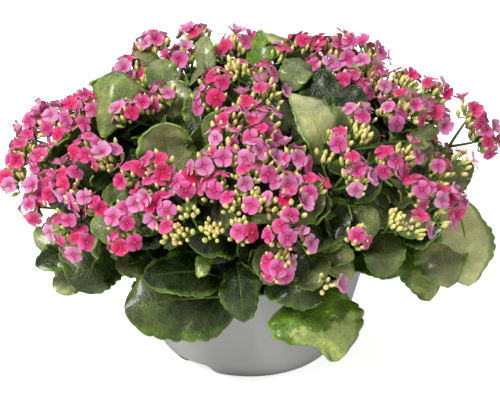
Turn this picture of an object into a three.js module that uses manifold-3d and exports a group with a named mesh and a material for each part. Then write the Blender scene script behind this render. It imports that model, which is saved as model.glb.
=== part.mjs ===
// A potted flaming katy: a shallow round bowl of soil, packed with leafy stems whose flower
// stalks open into domed heads of small four-petalled flowers.
// Millimetres, +Z up. The origin is the middle of the bowl's underside, and -Y is the front.

import * as THREE from 'three';
import * as BufferGeometryUtils from 'three/addons/utils/BufferGeometryUtils.js';
import Module from 'manifold-3d';

const wasm = await Module();
wasm.setup();

// Driving sizes of the bowl.
const BOWL_RIM_RADIUS = 118;
const BOWL_HEIGHT = 110;
const BOWL_WALL = 2.6;
const FOOT_RADIUS = 73;
const FOOT_LAND = 3.6;
const FLOOR_UNDERSIDE = 17;
const FLOOR_THICKNESS = 3;
const BOWL_SIDES = 36;
const ARCH_COUNT = 3;
const ARCH_HEIGHT = 15.5;
const ARCH_HALF_ANGLE = 16;
const ARCH_FIRST_AZIMUTH = 229;
const DRAIN_RADIUS = 4;
const DRAIN_CIRCLE = 40;
const DRAIN_COUNT = 3;

// Driving sizes of the soil.
const SOIL_EDGE_HEIGHT = 96;
const SOIL_CROWN = 5;
const STEM_DEPTH = 22;
const HOLE_MARGIN = 0.9;

// Driving sizes of the plant.
const STEM_RADIUS = 4.2;
const STEM_SIDES = 4;
const STEM_STEPS = 3;
const STALK_RADIUS = 2.2;
const STALK_ROOT = 1.3;
const STALK_STEPS = 2;
const PETIOLE_RADIUS = 2.6;
const PETIOLE_ROOT = 1.2;
const BLADE_THICKNESS = 2.4;
const BLADE_EDGE = 1.2;
const FLORET_LEAST = 13;
const FLORET_GROWTH = 4;
const FLORET_WIDEST = 28;
const FLORETS_A_FLOWER = 3.5;
const MOST_FLOWERS = 4;
const BUDS_A_BUD = 6;
const FLORET_NECK = 4.5;
const BUD_WIDTH = 5.6;
const TUFT_HEIGHT = 21;
const KNOT_RADIUS = 4;
const NECK_LENGTH = 6;
const NECK_RADIUS = 3.4;
const BIG_LEAF = 60;
const SMALL_LEAF = 25;
const NOTCH_PLACE = 0.78;
const NOTCH_WIDTH = 0.14;
const GAP = 0.3;

// Corners of one petal: angle from its middle in degrees, and share of the flower's radius.
const PETAL_CORNERS = [
  [-28, 1],
  [28, 1],
  [45, 0.64],
];

const DEGREE = Math.PI / 180;
const UP = new THREE.Vector3(0, 0, 1);
const DOME_CENTRE = new THREE.Vector3(0, 0, 130);

const vec = (list) => new THREE.Vector3(...list);

// A steady draw between 0 and 1 for a whole number.
function draw(number) {
  const wave = Math.sin(number * 12.9898) * 43758.5453;
  return wave - Math.floor(wave);
}

// The faces between two rings of corners, which may differ in number or be one point.
function bridge(faces, low, high) {
  let i = low.length === 1 ? 1 : 0;
  let j = high.length === 1 ? 1 : 0;
  while (i < low.length || j < high.length) {
    const stepLow = j >= high.length
      || (i < low.length && (i + 1) / low.length <= (j + 1) / high.length);
    if (stepLow) {
      faces.push([low[i], low[(i + 1) % low.length], high[j % high.length]]);
      i += 1;
    } else {
      faces.push([low[i % low.length], high[(j + 1) % high.length], high[j]]);
      j += 1;
    }
  }
}

// A closed shape through rings of points, each counter-clockwise seen from the last ring.
function loft(rings) {
  const points = rings.flat();
  const faces = [];
  let start = 0;
  const numbered = rings.map((ring) => ring.map(() => start++));
  for (let i = 1; i < numbered.length; i += 1) {
    bridge(faces, numbered[i - 1], numbered[i]);
  }
  const first = numbered[0];
  const last = numbered[numbered.length - 1];
  for (let k = 1; k < first.length - 1; k += 1) {
    faces.push([first[0], first[k + 1], first[k]]);
  }
  for (let k = 1; k < last.length - 1; k += 1) {
    faces.push([last[0], last[k], last[k + 1]]);
  }
  return { points, faces };
}

// Two directions square to a third one.
function crossAxes(direction) {
  const helper = Math.abs(direction.z) < 0.9 ? UP : new THREE.Vector3(1, 0, 0);
  const side = new THREE.Vector3().crossVectors(helper, direction).normalize();
  const other = new THREE.Vector3().crossVectors(direction, side);
  return [side, other];
}

function ringAround(centre, side, other, radius, count, turn = 0) {
  const ring = [];
  for (let k = 0; k < count; k += 1) {
    const angle = turn + (k / count) * 2 * Math.PI;
    ring.push(centre.clone()
      .addScaledVector(side, Math.cos(angle) * radius)
      .addScaledVector(other, Math.sin(angle) * radius));
  }
  return ring;
}

// A round rod along a curve, thinning from one radius to the other.
function rod(curve, startRadius, endRadius, steps, sides) {
  const rings = [];
  let side = crossAxes(curve.getTangent(0))[0];
  for (let i = 0; i <= steps; i += 1) {
    const t = i / steps;
    const tangent = curve.getTangent(t);
    side = side.clone().addScaledVector(tangent, -side.dot(tangent)).normalize();
    const other = new THREE.Vector3().crossVectors(tangent, side);
    const radius = THREE.MathUtils.lerp(startRadius, endRadius, t);
    rings.push(ringAround(curve.getPoint(t), side, other, radius, sides));
  }
  return loft(rings);
}

// The same shape with every face moved out by a gap.
function grown(shape, gap) {
  const normals = shape.points.map(() => []);
  const triangle = new THREE.Triangle();
  for (const face of shape.faces) {
    triangle.setFromPointsAndIndices(shape.points, ...face);
    const normal = triangle.getNormal(new THREE.Vector3());
    face.forEach((corner) => normals[corner].push(normal));
  }
  const points = shape.points.map((point, index) => {
    const sums = [0.02, 0, 0, 0, 0.02, 0, 0, 0, 0.02];
    const target = new THREE.Vector3();
    for (const normal of normals[index]) {
      const n = normal.toArray();
      for (let row = 0; row < 3; row += 1) {
        for (let column = 0; column < 3; column += 1) {
          sums[row * 3 + column] += n[row] * n[column];
        }
      }
      target.addScaledVector(normal, gap);
    }
    const move = target.applyMatrix3(new THREE.Matrix3().fromArray(sums).invert());
    return point.clone().add(move.clampLength(0, 2.5 * gap));
  });
  return { points, faces: shape.faces };
}

function solidOf(shape) {
  const vertProperties = new Float32Array(shape.points.flatMap((point) => point.toArray()));
  const triVerts = new Uint32Array(shape.faces.flat());
  return new wasm.Manifold(new wasm.Mesh({ numProp: 3, vertProperties, triVerts }));
}

function joined(shapes) {
  return wasm.Manifold.union(shapes.map(solidOf));
}

// The closed body inside a surface.
function solidOfGeometry(geometry) {
  geometry.deleteAttribute('normal');
  geometry.deleteAttribute('uv');
  const merged = BufferGeometryUtils.mergeVertices(geometry, 1e-4);
  const points = [];
  for (let i = 0; i < merged.attributes.position.count; i += 1) {
    points.push(new THREE.Vector3().fromBufferAttribute(merged.attributes.position, i));
  }
  const index = Array.from(merged.index.array);
  const faces = [];
  for (let i = 0; i < index.length; i += 3) {
    const [a, b, c] = index.slice(i, i + 3);
    if (a !== b && b !== c && c !== a) {
      faces.push([a, b, c]);
    }
  }
  return solidOf({ points, faces });
}

// The faces of a solid sorted into skins that don't touch, as lists of corners.
function skinsOf({ vertProperties, triVerts }) {
  const parent = Array.from({ length: vertProperties.length / 3 }, (_, index) => index);
  const rootOf = (index) => {
    let root = index;
    while (parent[root] !== root) {
      root = parent[root];
    }
    parent[index] = root;
    return root;
  };
  for (let i = 0; i < triVerts.length; i += 3) {
    const root = rootOf(triVerts[i]);
    parent[rootOf(triVerts[i + 1])] = root;
    parent[rootOf(triVerts[i + 2])] = root;
  }
  const skins = new Map();
  for (let i = 0; i < triVerts.length; i += 3) {
    const root = rootOf(triVerts[i]);
    skins.set(root, [...(skins.get(root) ?? []), ...triVerts.slice(i, i + 3)]);
  }
  return [...skins.values()];
}

// The largest piece of a solid, filled where joining left a sealed hollow.
function largestBody(solid) {
  const mesh = solid.getMesh();
  const bodies = skinsOf(mesh).map((corners) => {
    const { vertProperties } = mesh;
    const triVerts = new Uint32Array(corners);
    return new wasm.Manifold(new wasm.Mesh({ numProp: 3, vertProperties, triVerts }));
  });
  bodies.sort((a, b) => b.volume() - a.volume());
  return bodies[0];
}

// The bowl: a turned shell on a foot ring with three arches, and drain holes in its floor.

// Radius and height of the outside, from the foot to the rim.
const BOWL_OUTSIDE = [
  [FOOT_RADIUS, 0],
  [82.3, 6.4],
  [91, 16.5],
  [95.6, 26.4],
  [BOWL_RIM_RADIUS - 0.4, BOWL_HEIGHT - 2],
  [BOWL_RIM_RADIUS - 1.3, BOWL_HEIGHT],
];
const BOWL_INSIDE = [
  [BOWL_RIM_RADIUS - BOWL_WALL, BOWL_HEIGHT - 1],
  [95.6 - BOWL_WALL, 27],
  [88, FLOOR_UNDERSIDE + FLOOR_THICKNESS],
];

function turned(profile, sides) {
  const points = profile.map(([radius, height]) => new THREE.Vector2(radius, height));
  const geometry = new THREE.LatheGeometry(points, sides);
  geometry.rotateX(Math.PI / 2);
  return solidOfGeometry(geometry);
}

function bowl() {
  const profile = [
    [0, FLOOR_UNDERSIDE],
    [86, FLOOR_UNDERSIDE],
    [FOOT_RADIUS - FOOT_LAND, 0],
    ...BOWL_OUTSIDE,
    ...BOWL_INSIDE,
    [0, FLOOR_UNDERSIDE + FLOOR_THICKNESS],
  ];
  let solid = turned(profile, BOWL_SIDES);
  for (let k = 0; k < ARCH_COUNT; k += 1) {
    solid = solid.subtract(footArch(ARCH_FIRST_AZIMUTH + (k * 360) / ARCH_COUNT));
  }
  for (let k = 0; k < DRAIN_COUNT; k += 1) {
    const hole = new THREE.CylinderGeometry(DRAIN_RADIUS, DRAIN_RADIUS, 12, 6);
    hole.rotateX(Math.PI / 2);
    hole.translate(DRAIN_CIRCLE, 0, FLOOR_UNDERSIDE + 1);
    hole.rotateZ((k / DRAIN_COUNT) * 2 * Math.PI);
    solid = solid.subtract(solidOfGeometry(hole));
  }
  return solid;
}

// The cutter for one arch: flat on top with sloping ends, through the foot only.
function footArch(azimuth) {
  const reach = FOOT_RADIUS + 20;
  const half = reach * Math.sin(ARCH_HALF_ANGLE * DEGREE);
  const outline = new THREE.Shape([
    new THREE.Vector2(-half, -1),
    new THREE.Vector2(half, -1),
    new THREE.Vector2(half, 1),
    new THREE.Vector2(half * 0.8, ARCH_HEIGHT),
    new THREE.Vector2(-half * 0.8, ARCH_HEIGHT),
    new THREE.Vector2(-half, 1),
  ]);
  const cutter = new THREE.ExtrudeGeometry(outline, { depth: 50, bevelEnabled: false });
  cutter.rotateX(Math.PI / 2);
  cutter.translate(0, reach, 0);
  cutter.rotateZ((azimuth - 90) * DEGREE);
  return solidOfGeometry(cutter);
}

// The plan of the plant, stem by stem: where it leaves the soil and where it forks.
// Leaves: base, tip, width, the way the upper side faces, arch along and cup across, and how
// deep a notch on one side is, where a leaf has one.
// Tufts: the top of a small dome of flowers, then how many open flowers and how many buds.
// The solid shows one wider flower for every three or four, and one bud for every six.
const STEMS = {
  front_left: {
    soil: [-22, -38],
    fork: [-20, -84, 205],
    leaves: [
      [[-42, -78, 222], [-46, -92, 271], 34, [0.1, -0.85, 0.5], 0.1, 0.1],
      [[-11, -116, 160], [-58, -160, 187], 36, [-0.1, -0.7, 0.65], 0.15, -0.2],
    ],
    heads: {
      crest: [[-33, -39, 307, 5, 8], [-12, -28, 314, 1, 13], [13, -30, 310, 4, 14]],
      breast: [
        [-39, -63, 294, 5, 8], [-6, -83, 295, 2, 7], [17, -63, 300, 4, 8],
        [-19, -104, 288, 3, 5], [12, -99, 288, 5, 7],
      ],
      throat: [[-26, -126, 279, 5, 8], [9, -129, 279, 9, 7]],
      cheek: [[-43, -152, 259, 3, 3], [-32, -163, 244, 4, 9], [-23, -144, 265, 3, 10]],
      buds: [
        [-35, -191, 208, 0, 15], [-75, -189, 207, 1, 6], [-63, -189, 203, 0, 10],
        [-56, -183, 224, 0, 7],
      ],
    },
  },
  front_right: {
    soil: [20, -40],
    fork: [28, -92, 200],
    leaves: [
      [[72, -95, 227], [38, -72, 297], 46, [0.6, -0.5, 0.65], 0.25, 0.1],
      [[45, -128, 204], [74, -158, 216], 34, [0, -0.7, 0.7], 0.1, -0.2],
      [[53, -118, 185], [93, -150, 199], 52, [0.1, -0.85, 0.5], 0.1, -0.15],
      [[50, -128, 175], [86, -154, 180], 30, [0, -0.7, 0.7], 0.15, -0.2],
    ],
    heads: {
      brow: [
        [2, -144, 268, 4, 5], [16, -152, 258, 3, 9], [41, -147, 263, 5, 2],
        [33, -163, 247, 3, 7], [57, -163, 241, 4, 3],
      ],
      bib: [
        [-16, -183, 233, 1, 9], [4, -185, 235, 1, 11], [-7, -195, 210, 2, 11],
        [-4, -165, 253, 3, 8],
      ],
      cascade: [
        [27, -181, 232, 2, 8], [42, -181, 229, 4, 3], [30, -193, 211, 5, 9],
        [48, -195, 200, 2, 2],
      ],
    },
  },
  front_low: {
    soil: [0, -74],
    fork: [8, -118, 160],
    leaves: [
      [[-12, -128, 147], [-7, -158, 101], 38, [-0.25, -0.9, 0.4], 0.12, -0.2],
      [[51, -116, 117], [83, -163, 65], 94, [0.05, -0.85, 0.5], 0.15, -0.15, 0.5],
      [[13, -130, 129], [68, -170, 130], 40, [0, -0.75, 0.65], 0.15, -0.2],
      [[58, -125, 156], [94, -165, 149], 34, [0.1, -0.6, 0.75], 0.15, 0.1],
      [[52, -132, 166], [96, -160, 167], 28, [0, -0.7, 0.7], 0.1, -0.2],
    ],
    heads: {
      drip: [[27, -203, 180, 6, 14], [72, -189, 153, 1, 3]],
    },
  },
  left_front: {
    soil: [-50, -56],
    fork: [-66, -104, 178],
    leaves: [
      [[-11, -114, 107], [-118, -150, 111], 80, [0.15, -0.75, 0.6], 0.12, -0.15],
      [[-29, -112, 126], [-98, -165, 149], 48, [0.2, -0.6, 0.75], 0.15, -0.2],
      [[-88, -90, 132], [-127, -118, 138], 28, [-0.2, -0.7, 0.6], 0.1, -0.1],
      [[-39, -145, 167], [-47, -165, 150], 15, [0, -0.8, 0.5], 0.1, 0],
      [[-75, -95, 219], [-80, -115, 282], 54, [0, -0.85, 0.5], -0.08, 0.15],
      [[-83, -94, 125], [-109, -118, 108], 30, [-0.2, -0.8, 0.5], 0.1, -0.1],
    ],
    heads: {
      plume: [[-113, -140, 246, 4, 4], [-91, -157, 239, 7, 4], [-105, -163, 224, 4, 1]],
      feather: [[-86, -144, 257, 3, 6], [-63, -151, 243, 5, 15], [-80, -168, 223, 4, 1]],
      pendant: [[-121, -167, 214, 4, 6], [-120, -171, 193, 5, 5]],
    },
  },
  left_low: {
    soil: [-76, -30],
    fork: [-118, -78, 165],
    leaves: [
      [[-138, -65, 144], [-167, -100, 107], 62, [-0.1, -0.75, 0.6], 0.12, -0.2],
      [[-98, -76, 160], [-128, -104, 140], 38, [-0.1, -0.8, 0.5], 0.1, -0.1],
      [[-113, -80, 190], [-138, -110, 206], 30, [0, -0.7, 0.7], 0.1, -0.1],
      [[-133, -55, 201], [-179, -75, 224], 32, [0, -0.7, 0.7], 0.1, -0.2],
    ],
    heads: {
      skirt: [[-180, -127, 188, 5, 2], [-167, -135, 174, 6, 6]],
      ruff: [
        [-162, -122, 214, 4, 4], [-146, -132, 207, 4, 1], [-180, -93, 221, 6, 2],
        [-202, -73, 208, 6, 3], [-208, -81, 190, 4, 6],
      ],
    },
  },
  left: {
    soil: [-80, 12],
    fork: [-140, 2, 175],
    leaves: [
      [[-160, -42, 124], [-209, -72, 120], 36, [-0.3, -0.6, 0.7], 0.15, -0.2],
      [[-160, -40, 110], [-187, -62, 87], 34, [-0.3, -0.8, 0.4], 0.1, -0.1],
      [[-172, -5, 134], [-214, -20, 119], 42, [-0.4, -0.7, 0.5], 0.1, -0.1],
    ],
    heads: {
      wing: [[-239, -20, 196, 6, 11], [-228, -14, 218, 7, 9]],
      collar: [[-162, -79, 250, 8, 4], [-138, -95, 246, 4, 13]],
      shoulder: [
        [-219, 20, 243, 5, 1], [-203, 10, 249, 8, 5], [-224, 10, 229, 3, 1],
        [-189, -10, 238, 2, 5],
      ],
    },
  },
  left_back: {
    soil: [-48, 30],
    fork: [-88, 22, 222],
    leaves: [
      [[-125, 18, 253], [-138, -58, 247], 52, [-0.05, -0.45, 0.9], 0.5, -0.15],
      [[-72, -32, 246], [-75, -18, 292], 42, [0.15, -0.8, 0.5], 0.1, 0.1],
      [[-50, -50, 255], [-52, -40, 287], 26, [0.1, -0.9, 0.4], 0.1, 0.1],
      [[-43, 12, 284], [-46, 36, 320], 20, [0, -0.8, 0.6], 0.1, 0.1],
      [[-84, 0, 272], [-89, 30, 298], 32, [0, -0.8, 0.5], 0.1, 0.1],
    ],
    heads: {
      ear: [[-157, -17, 272, 6, 5], [-178, 5, 263, 6, 8]],
      slope: [[-122, -55, 277, 4, 8], [-105, -46, 282, 4, 6], [-85, -36, 286, 4, 7]],
      crown: [[-101, 69, 309, 8, 5], [-126, 51, 289, 8, 4], [-107, 33, 284, 1, 16]],
      peak: [[-57, 65, 319, 5, 5], [-72, 49, 303, 6, 16]],
    },
  },
  middle: {
    soil: [0, 8],
    fork: [2, 20, 225],
    leaves: [
      [[0, 38, 290], [39, 60, 304], 28, [0, -0.6, 0.8], 0.35, -0.2],
      [[26, 38, 290], [67, 64, 296], 26, [0.1, -0.6, 0.8], 0.2, -0.2],
      [[49, 26, 300], [39, -14, 279], 32, [0.1, -0.7, 0.7], 0.2, -0.15],
    ],
    heads: {
      summit: [[-15, 55, 313, 7, 16], [27, 39, 309, 2, 9], [55, 53, 312, 3, 2]],
    },
  },
  right_back: {
    soil: [46, 30],
    fork: [84, 20, 222],
    leaves: [
      [[74, -52, 223], [87, -48, 276], 36, [0.1, -0.9, 0.4], 0.1, -0.1],
      [[78, -22, 261], [60, 4, 293], 40, [0, -0.9, 0.4], 0.1, 0],
      [[150, -58, 244], [182, -42, 250], 16, [0, -0.6, 0.8], 0.1, 0],
      [[146, -66, 242], [168, -88, 250], 15, [0, -0.6, 0.8], 0.1, 0],
      [[98, -42, 260], [93, -16, 285], 34, [0, -0.8, 0.5], 0.1, 0.1],
    ],
    heads: {
      crown: [[79, 61, 309, 5, 5], [97, 67, 309, 2, 10], [73, 26, 300, 5, 9]],
      ridge: [[101, 51, 300, 6, 3], [126, 63, 301, 4, 4], [122, 35, 292, 4, 2]],
      bank: [[100, 14, 290, 6, 5], [111, 4, 283, 6, 5], [135, 12, 279, 4, 16]],
      slope: [[105, -81, 281, 3, 9], [105, -102, 268, 0, 13], [84, -118, 272, 2, 13]],
    },
  },
  right: {
    soil: [80, 14],
    fork: [138, 14, 185],
    leaves: [
      [[155, 0, 253], [193, 30, 257], 28, [0, -0.5, 0.85], 0.15, -0.2],
      [[185, -30, 178], [219, 0, 202], 32, [0.1, -0.6, 0.8], 0.1, -0.2],
      [[200, -50, 178], [221, -95, 111], 60, [0.45, -0.75, 0.5], 0.15, -0.2],
    ],
    heads: {
      knoll: [[158, 34, 281, 4, 12], [187, 29, 272, 5, 8]],
      shoulder: [[140, -47, 274, 6, 5], [161, -39, 277, 7, 12], [185, -25, 261, 6, 7]],
      wing: [[225, 8, 253, 8, 6], [237, 4, 230, 8, 9]],
    },
  },
  right_low: {
    soil: [76, -26],
    fork: [122, -72, 170],
    leaves: [
      [[178, -60, 163], [188, -105, 113], 46, [0, -0.85, 0.5], 0.12, -0.2],
      [[150, -60, 135], [176, -90, 91], 38, [0.3, -0.8, 0.5], 0.1, -0.1],
      [[145, -88, 163], [180, -124, 181], 34, [0, -0.75, 0.6], 0.12, -0.2],
      [[168, -48, 198], [210, -46, 195], 28, [0.2, -0.6, 0.75], 0.1, -0.2],
      [[157, -68, 212], [110, -118, 203], 44, [0.1, -0.6, 0.75], 0.12, -0.2],
    ],
    heads: {
      knot: [[136, -106, 246, 4, 6], [152, -96, 247, 2, 7], [127, -117, 236, 2, 2]],
      tassel: [[183, -77, 228, 4, 12], [207, -61, 228, 2, 3]],
      fan: [
        [162, -118, 222, 5, 7], [180, -116, 213, 4, 3], [198, -101, 204, 6, 3],
        [183, -126, 193, 2, 1],
      ],
      pendant: [[157, -156, 197, 2, 5], [136, -154, 203, 0, 15]],
    },
  },
  right_front: {
    soil: [50, -54],
    fork: [76, -98, 172],
    leaves: [
      [[95, -90, 132], [142, -120, 133], 26, [0, -0.6, 0.8], 0.1, -0.1],
      [[128, -100, 174], [125, -140, 138], 40, [0, -0.85, 0.5], 0.12, -0.2],
      [[134, -106, 196], [104, -142, 191], 32, [-0.1, -0.75, 0.6], 0.1, -0.1],
      [[96, -92, 229], [73, -116, 238], 17, [0, -0.8, 0.6], 0.1, -0.1],
      [[132, -62, 234], [122, -96, 207], 36, [0, -0.8, 0.5], 0.12, -0.2],
    ],
    heads: {
      lapel: [[96, -142, 256, 3, 6], [100, -149, 242, 4, 9], [71, -127, 255, 0, 5]],
      single: [[102, -173, 196, 2, 9]],
    },
  },
  back_left: { soil: [-34, 68], fork: [-62, 104, 195], leaves: [], heads: {} },
  back_right: { soil: [34, 68], fork: [62, 104, 195], leaves: [], heads: {} },
};

// The far side is filled by rule: rings of heads and of leaves from the right to the left.
// Rings of heads: azimuths, radius and height of the dome, and how far two tufts part.
const BACK_HEAD_RINGS = [
  { azimuths: [22, 55, 88, 125, 160], radius: 205, height: 185, part: 22 },
  { azimuths: [42, 92, 138], radius: 165, height: 240, part: 22 },
  { azimuths: [96], radius: 100, height: 284, part: 20 },
];
const BACK_TUFT_RISE = 18;
// Rings of leaves: azimuths, radius and height of base and tip, width, how much it faces up.
const BACK_LEAF_RINGS = [
  { azimuths: [8, 36, 68, 98, 130, 160], base: [135, 128], tip: [200, 92], width: 70, up: 1.2 },
  { azimuths: [34, 66, 98, 130, 162], base: [120, 165], tip: [192, 152], width: 56, up: 1.4 },
  { azimuths: [51, 86, 121], base: [100, 215], tip: [152, 215], width: 46, up: 1.6 },
];
const WHORL_AZIMUTHS = [20, 92, 164, 236, 308];
const INNER_LEAF_TURN = 14;
const CROWDED = 5;
const BACK_STEMS = ['right', 'right_back', 'back_right', 'back_left', 'left_back', 'left'];
const BACK_STEM_LIMITS = [24, 44, 90, 136, 156, 180];

function polar(azimuth, radius, height) {
  const angle = azimuth * DEGREE;
  return [radius * Math.cos(angle), radius * Math.sin(angle), height];
}

function backStem(azimuth) {
  return BACK_STEMS[BACK_STEM_LIMITS.findIndex((limit) => azimuth <= limit)];
}

let seed = 1;
BACK_HEAD_RINGS.forEach((ring, level) => {
  ring.azimuths.forEach((azimuth, place) => {
    const turn = (ring.part / ring.radius / DEGREE) * 0.9;
    const height = ring.height + 16 * (draw(seed) - 0.5);
    const tufts = [-1, 0, 1].map((way) => {
      const rise = way === 0 ? BACK_TUFT_RISE : way * 9 * (draw(seed + 7) - 0.5);
      const radius = ring.radius - 0.5 * (way === 0 ? BACK_TUFT_RISE : 0);
      return [...polar(azimuth + way * turn, radius, height + rise), way === 0 ? 7 : 5, 6];
    });
    STEMS[backStem(azimuth)].heads[`far_${level}_${place}`] = tufts;
    seed += 1;
  });
});
BACK_LEAF_RINGS.forEach((ring) => {
  ring.azimuths.forEach((azimuth) => {
    const base = polar(azimuth, ring.base[0], ring.base[1]);
    const swing = 14 * (draw(seed) - 0.5);
    const tip = polar(azimuth + swing, ring.tip[0], ring.tip[1] + 20 * (draw(seed + 3) - 0.5));
    const facing = polar(azimuth, 1, ring.up);
    STEMS[backStem(azimuth)].leaves.push([base, tip, ring.width, facing, 0.15, -0.2]);
    seed += 1;
  });
});

// Leaves between the stems: one stands beside each stem with room for it, and a whorl
// spreads from the middle.
for (const [name, stem] of Object.entries(STEMS)) {
  const [x, y, z] = stem.fork;
  if (name === 'middle') {
    for (const azimuth of WHORL_AZIMUTHS) {
      const base = polar(azimuth, 14, z - 22);
      const tip = polar(azimuth + 8, 64, z - 2);
      stem.leaves.push([base, tip, 44, polar(azimuth, 0.3, 1), 0.15, -0.15]);
    }
  } else if (stem.leaves.length < CROWDED) {
    const azimuth = Math.atan2(y, x) / DEGREE + INNER_LEAF_TURN * Math.sign(x);
    const radius = Math.hypot(x, y);
    const base = polar(azimuth, radius * 0.86, z - 50);
    const tip = polar(azimuth, radius * 0.86 + 34, z + 4);
    stem.leaves.push([base, tip, 48, polar(azimuth, 1, 0.4), 0.12, -0.1]);
  }
}

// Stems, flower stalks and leaves.

function stemCurve(stem) {
  const [x, y] = stem.soil;
  const top = vec(stem.fork);
  const foot = new THREE.Vector3(x, y, SOIL_EDGE_HEIGHT - STEM_DEPTH);
  const bend = new THREE.Vector3(x, y, THREE.MathUtils.lerp(foot.z, top.z, 0.6));
  return new THREE.QuadraticBezierCurve3(foot, bend, top);
}

// A leaf grows from the nearest place on the stem or a flower stalk that lies lower than it.
function growthPoint(root, lines) {
  let best = null;
  for (const line of lines) {
    for (let i = 0; i < line.length - 1; i += 1) {
      for (let t = 0; t < 1; t += 0.1) {
        const point = line[i].clone().lerp(line[i + 1], t);
        const lowEnough = point.z < root.z - 4 || point.z < SOIL_EDGE_HEIGHT + 26;
        const far = point.distanceTo(root);
        if (point.z > SOIL_EDGE_HEIGHT + 14 && lowEnough && (best === null || far < best.far)) {
          best = { point, far };
        }
      }
    }
  }
  return best.point;
}

// Half the width of a leaf along its length, as a share of the greatest.
function leafOutline(t) {
  return 0.14 + 0.86 * Math.sin(Math.PI * t ** 0.9) ** 0.6;
}

// The midrib's line, and the way the upper side faces.
function leafSpine([base, tip, , facing, arch]) {
  const start = vec(base);
  const end = vec(tip);
  const along = end.clone().sub(start);
  const lift = vec(facing);
  lift.addScaledVector(along, -lift.dot(along) / along.lengthSq()).normalize();
  const control = start.clone().lerp(end, 0.5).addScaledVector(lift, 2 * arch * along.length());
  return { curve: new THREE.QuadraticBezierCurve3(start, control, end), lift };
}

// Six corners round a leaf or its stalk: right above and below, midrib below, left below and
// above, midrib above.
function leafRing(centre, tangent, lift, [right, left], edgeLift, thickness, edge) {
  const side = new THREE.Vector3().crossVectors(tangent, lift).normalize();
  const normal = new THREE.Vector3().crossVectors(side, tangent);
  const at = (across, height) => centre.clone()
    .addScaledVector(side, across)
    .addScaledVector(normal, height);
  return [
    at(right, edgeLift),
    at(right, edgeLift - edge),
    at(0, -thickness),
    at(-left, edgeLift - edge),
    at(-left, edgeLift),
    at(0, 0),
  ];
}

// A fleshy leaf on its stalk: a scalloped blade, thick at the midrib and thinner at the edge.
function leafShape(leaf, lines) {
  const [, , width, , , cup, notch = 0] = leaf;
  const { curve, lift } = leafSpine(leaf);
  const root = curve.getPoint(0);
  const start = growthPoint(root, lines);
  const bend = start.clone().lerp(root, 0.6).addScaledVector(UP, 4);
  const path = new THREE.QuadraticBezierCurve3(start, bend, root);
  const stalk = [0, 0.55].map((t) => {
    const tangent = path.getTangent(t);
    const side = new THREE.Vector3().crossVectors(tangent, lift).normalize();
    const other = new THREE.Vector3().crossVectors(tangent, side);
    const radius = t === 0 ? PETIOLE_ROOT : PETIOLE_RADIUS;
    return ringAround(path.getPoint(t), side, other, radius, 3, -Math.PI / 6);
  });
  const rings = [];
  let rows = 5;
  if (width >= BIG_LEAF) {
    rows = 8;
  } else if (width < SMALL_LEAF) {
    rows = 4;
  }
  for (let i = 0; i < rows; i += 1) {
    const t = i / (rows - 1);
    const scallop = (i + rows) % 2 === 0 ? 0.94 : 1.05;
    const half = (width / 2) * leafOutline(t) * scallop;
    const edgeLift = cup * half + (scallop - 1) * 0.25 * half;
    const centre = curve.getPoint(t);
    const bitten = 1 - notch * Math.exp(-(((t - NOTCH_PLACE) / NOTCH_WIDTH) ** 2));
    rings.push(leafRing(
      centre,
      curve.getTangent(t),
      lift,
      [half * bitten, half],
      edgeLift,
      BLADE_THICKNESS,
      BLADE_EDGE,
    ));
  }
  const points = [...stalk.flat(), ...rings.flat()];
  return { points, faces: leafFaces(rings.length) };
}

// Two rings of three for the stalk, then rings of six. Both halves of the blade are split
// alike above and below.
function leafFaces(count) {
  const splits = [false, false, true, false, false, true];
  const faces = [[0, 2, 1]];
  bridge(faces, [0, 1, 2], [3, 4, 5]);
  bridge(faces, [3, 4, 5], [6, 7, 8, 9, 10, 11]);
  for (let ring = 1; ring < count; ring += 1) {
    splits.forEach((fromLow, k) => {
      const a = ring * 6 + k;
      const b = ring * 6 + ((k + 1) % 6);
      if (fromLow) {
        faces.push([a, b, b + 6], [a, b + 6, a + 6]);
      } else {
        faces.push([a, b, a + 6], [b, b + 6, a + 6]);
      }
    });
  }
  const last = count * 6;
  for (let k = 1; k < 5; k += 1) {
    faces.push([last, last + k, last + k + 1]);
  }
  return faces;
}

// Flower heads.

// Where a tuft's flowers part, the way it faces, and where all tufts of a head part.
function headFrame(tufts, stem) {
  const parts = tufts.map(([x, y, z, florets, budCount]) => {
    const top = new THREE.Vector3(x, y, z);
    const out = top.clone().sub(DOME_CENTRE).normalize().addScaledVector(UP, 0.35).normalize();
    const joint = top.clone().addScaledVector(out, -TUFT_HEIGHT);
    const share = Math.min(MOST_FLOWERS, Math.round(florets / FLORETS_A_FLOWER));
    const open = florets === 0 ? 0 : Math.max(1, share);
    const width = Math.min(FLORET_WIDEST, FLORET_LEAST + (FLORET_GROWTH * florets) / open);
    return { joint, out, open, width, buds: Math.round(budCount / BUDS_A_BUD) };
  });
  const mean = parts.reduce((sum, part) => sum.add(part.joint), new THREE.Vector3());
  mean.divideScalar(parts.length);
  const fork = vec(stem.fork);
  const inward = fork.clone().sub(mean).normalize();
  const outward = parts[0].out.clone().negate();
  const way = inward.lerp(outward, 0.5).normalize();
  const depth = parts.length === 1 ? 14 : 22;
  return { parts, neck: mean.addScaledVector(way, depth), way: way.negate() };
}

// The flower stalk from the stem to just below the neck of a head.
function stalkCurve(stem, frame, rank, count) {
  const stemLine = stemCurve(stem);
  const start = stemLine.getPoint(count === 1 ? 0.97 : 0.8 + 0.18 * (rank / (count - 1)));
  const end = frame.neck.clone().addScaledVector(frame.way, -NECK_LENGTH);
  const rise = start.clone().lerp(end, 0.3).addScaledVector(UP, 6);
  const approach = end.clone().addScaledVector(frame.way, -0.3 * start.distanceTo(end));
  return new THREE.CubicBezierCurve3(start, rise, approach, end);
}

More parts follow.
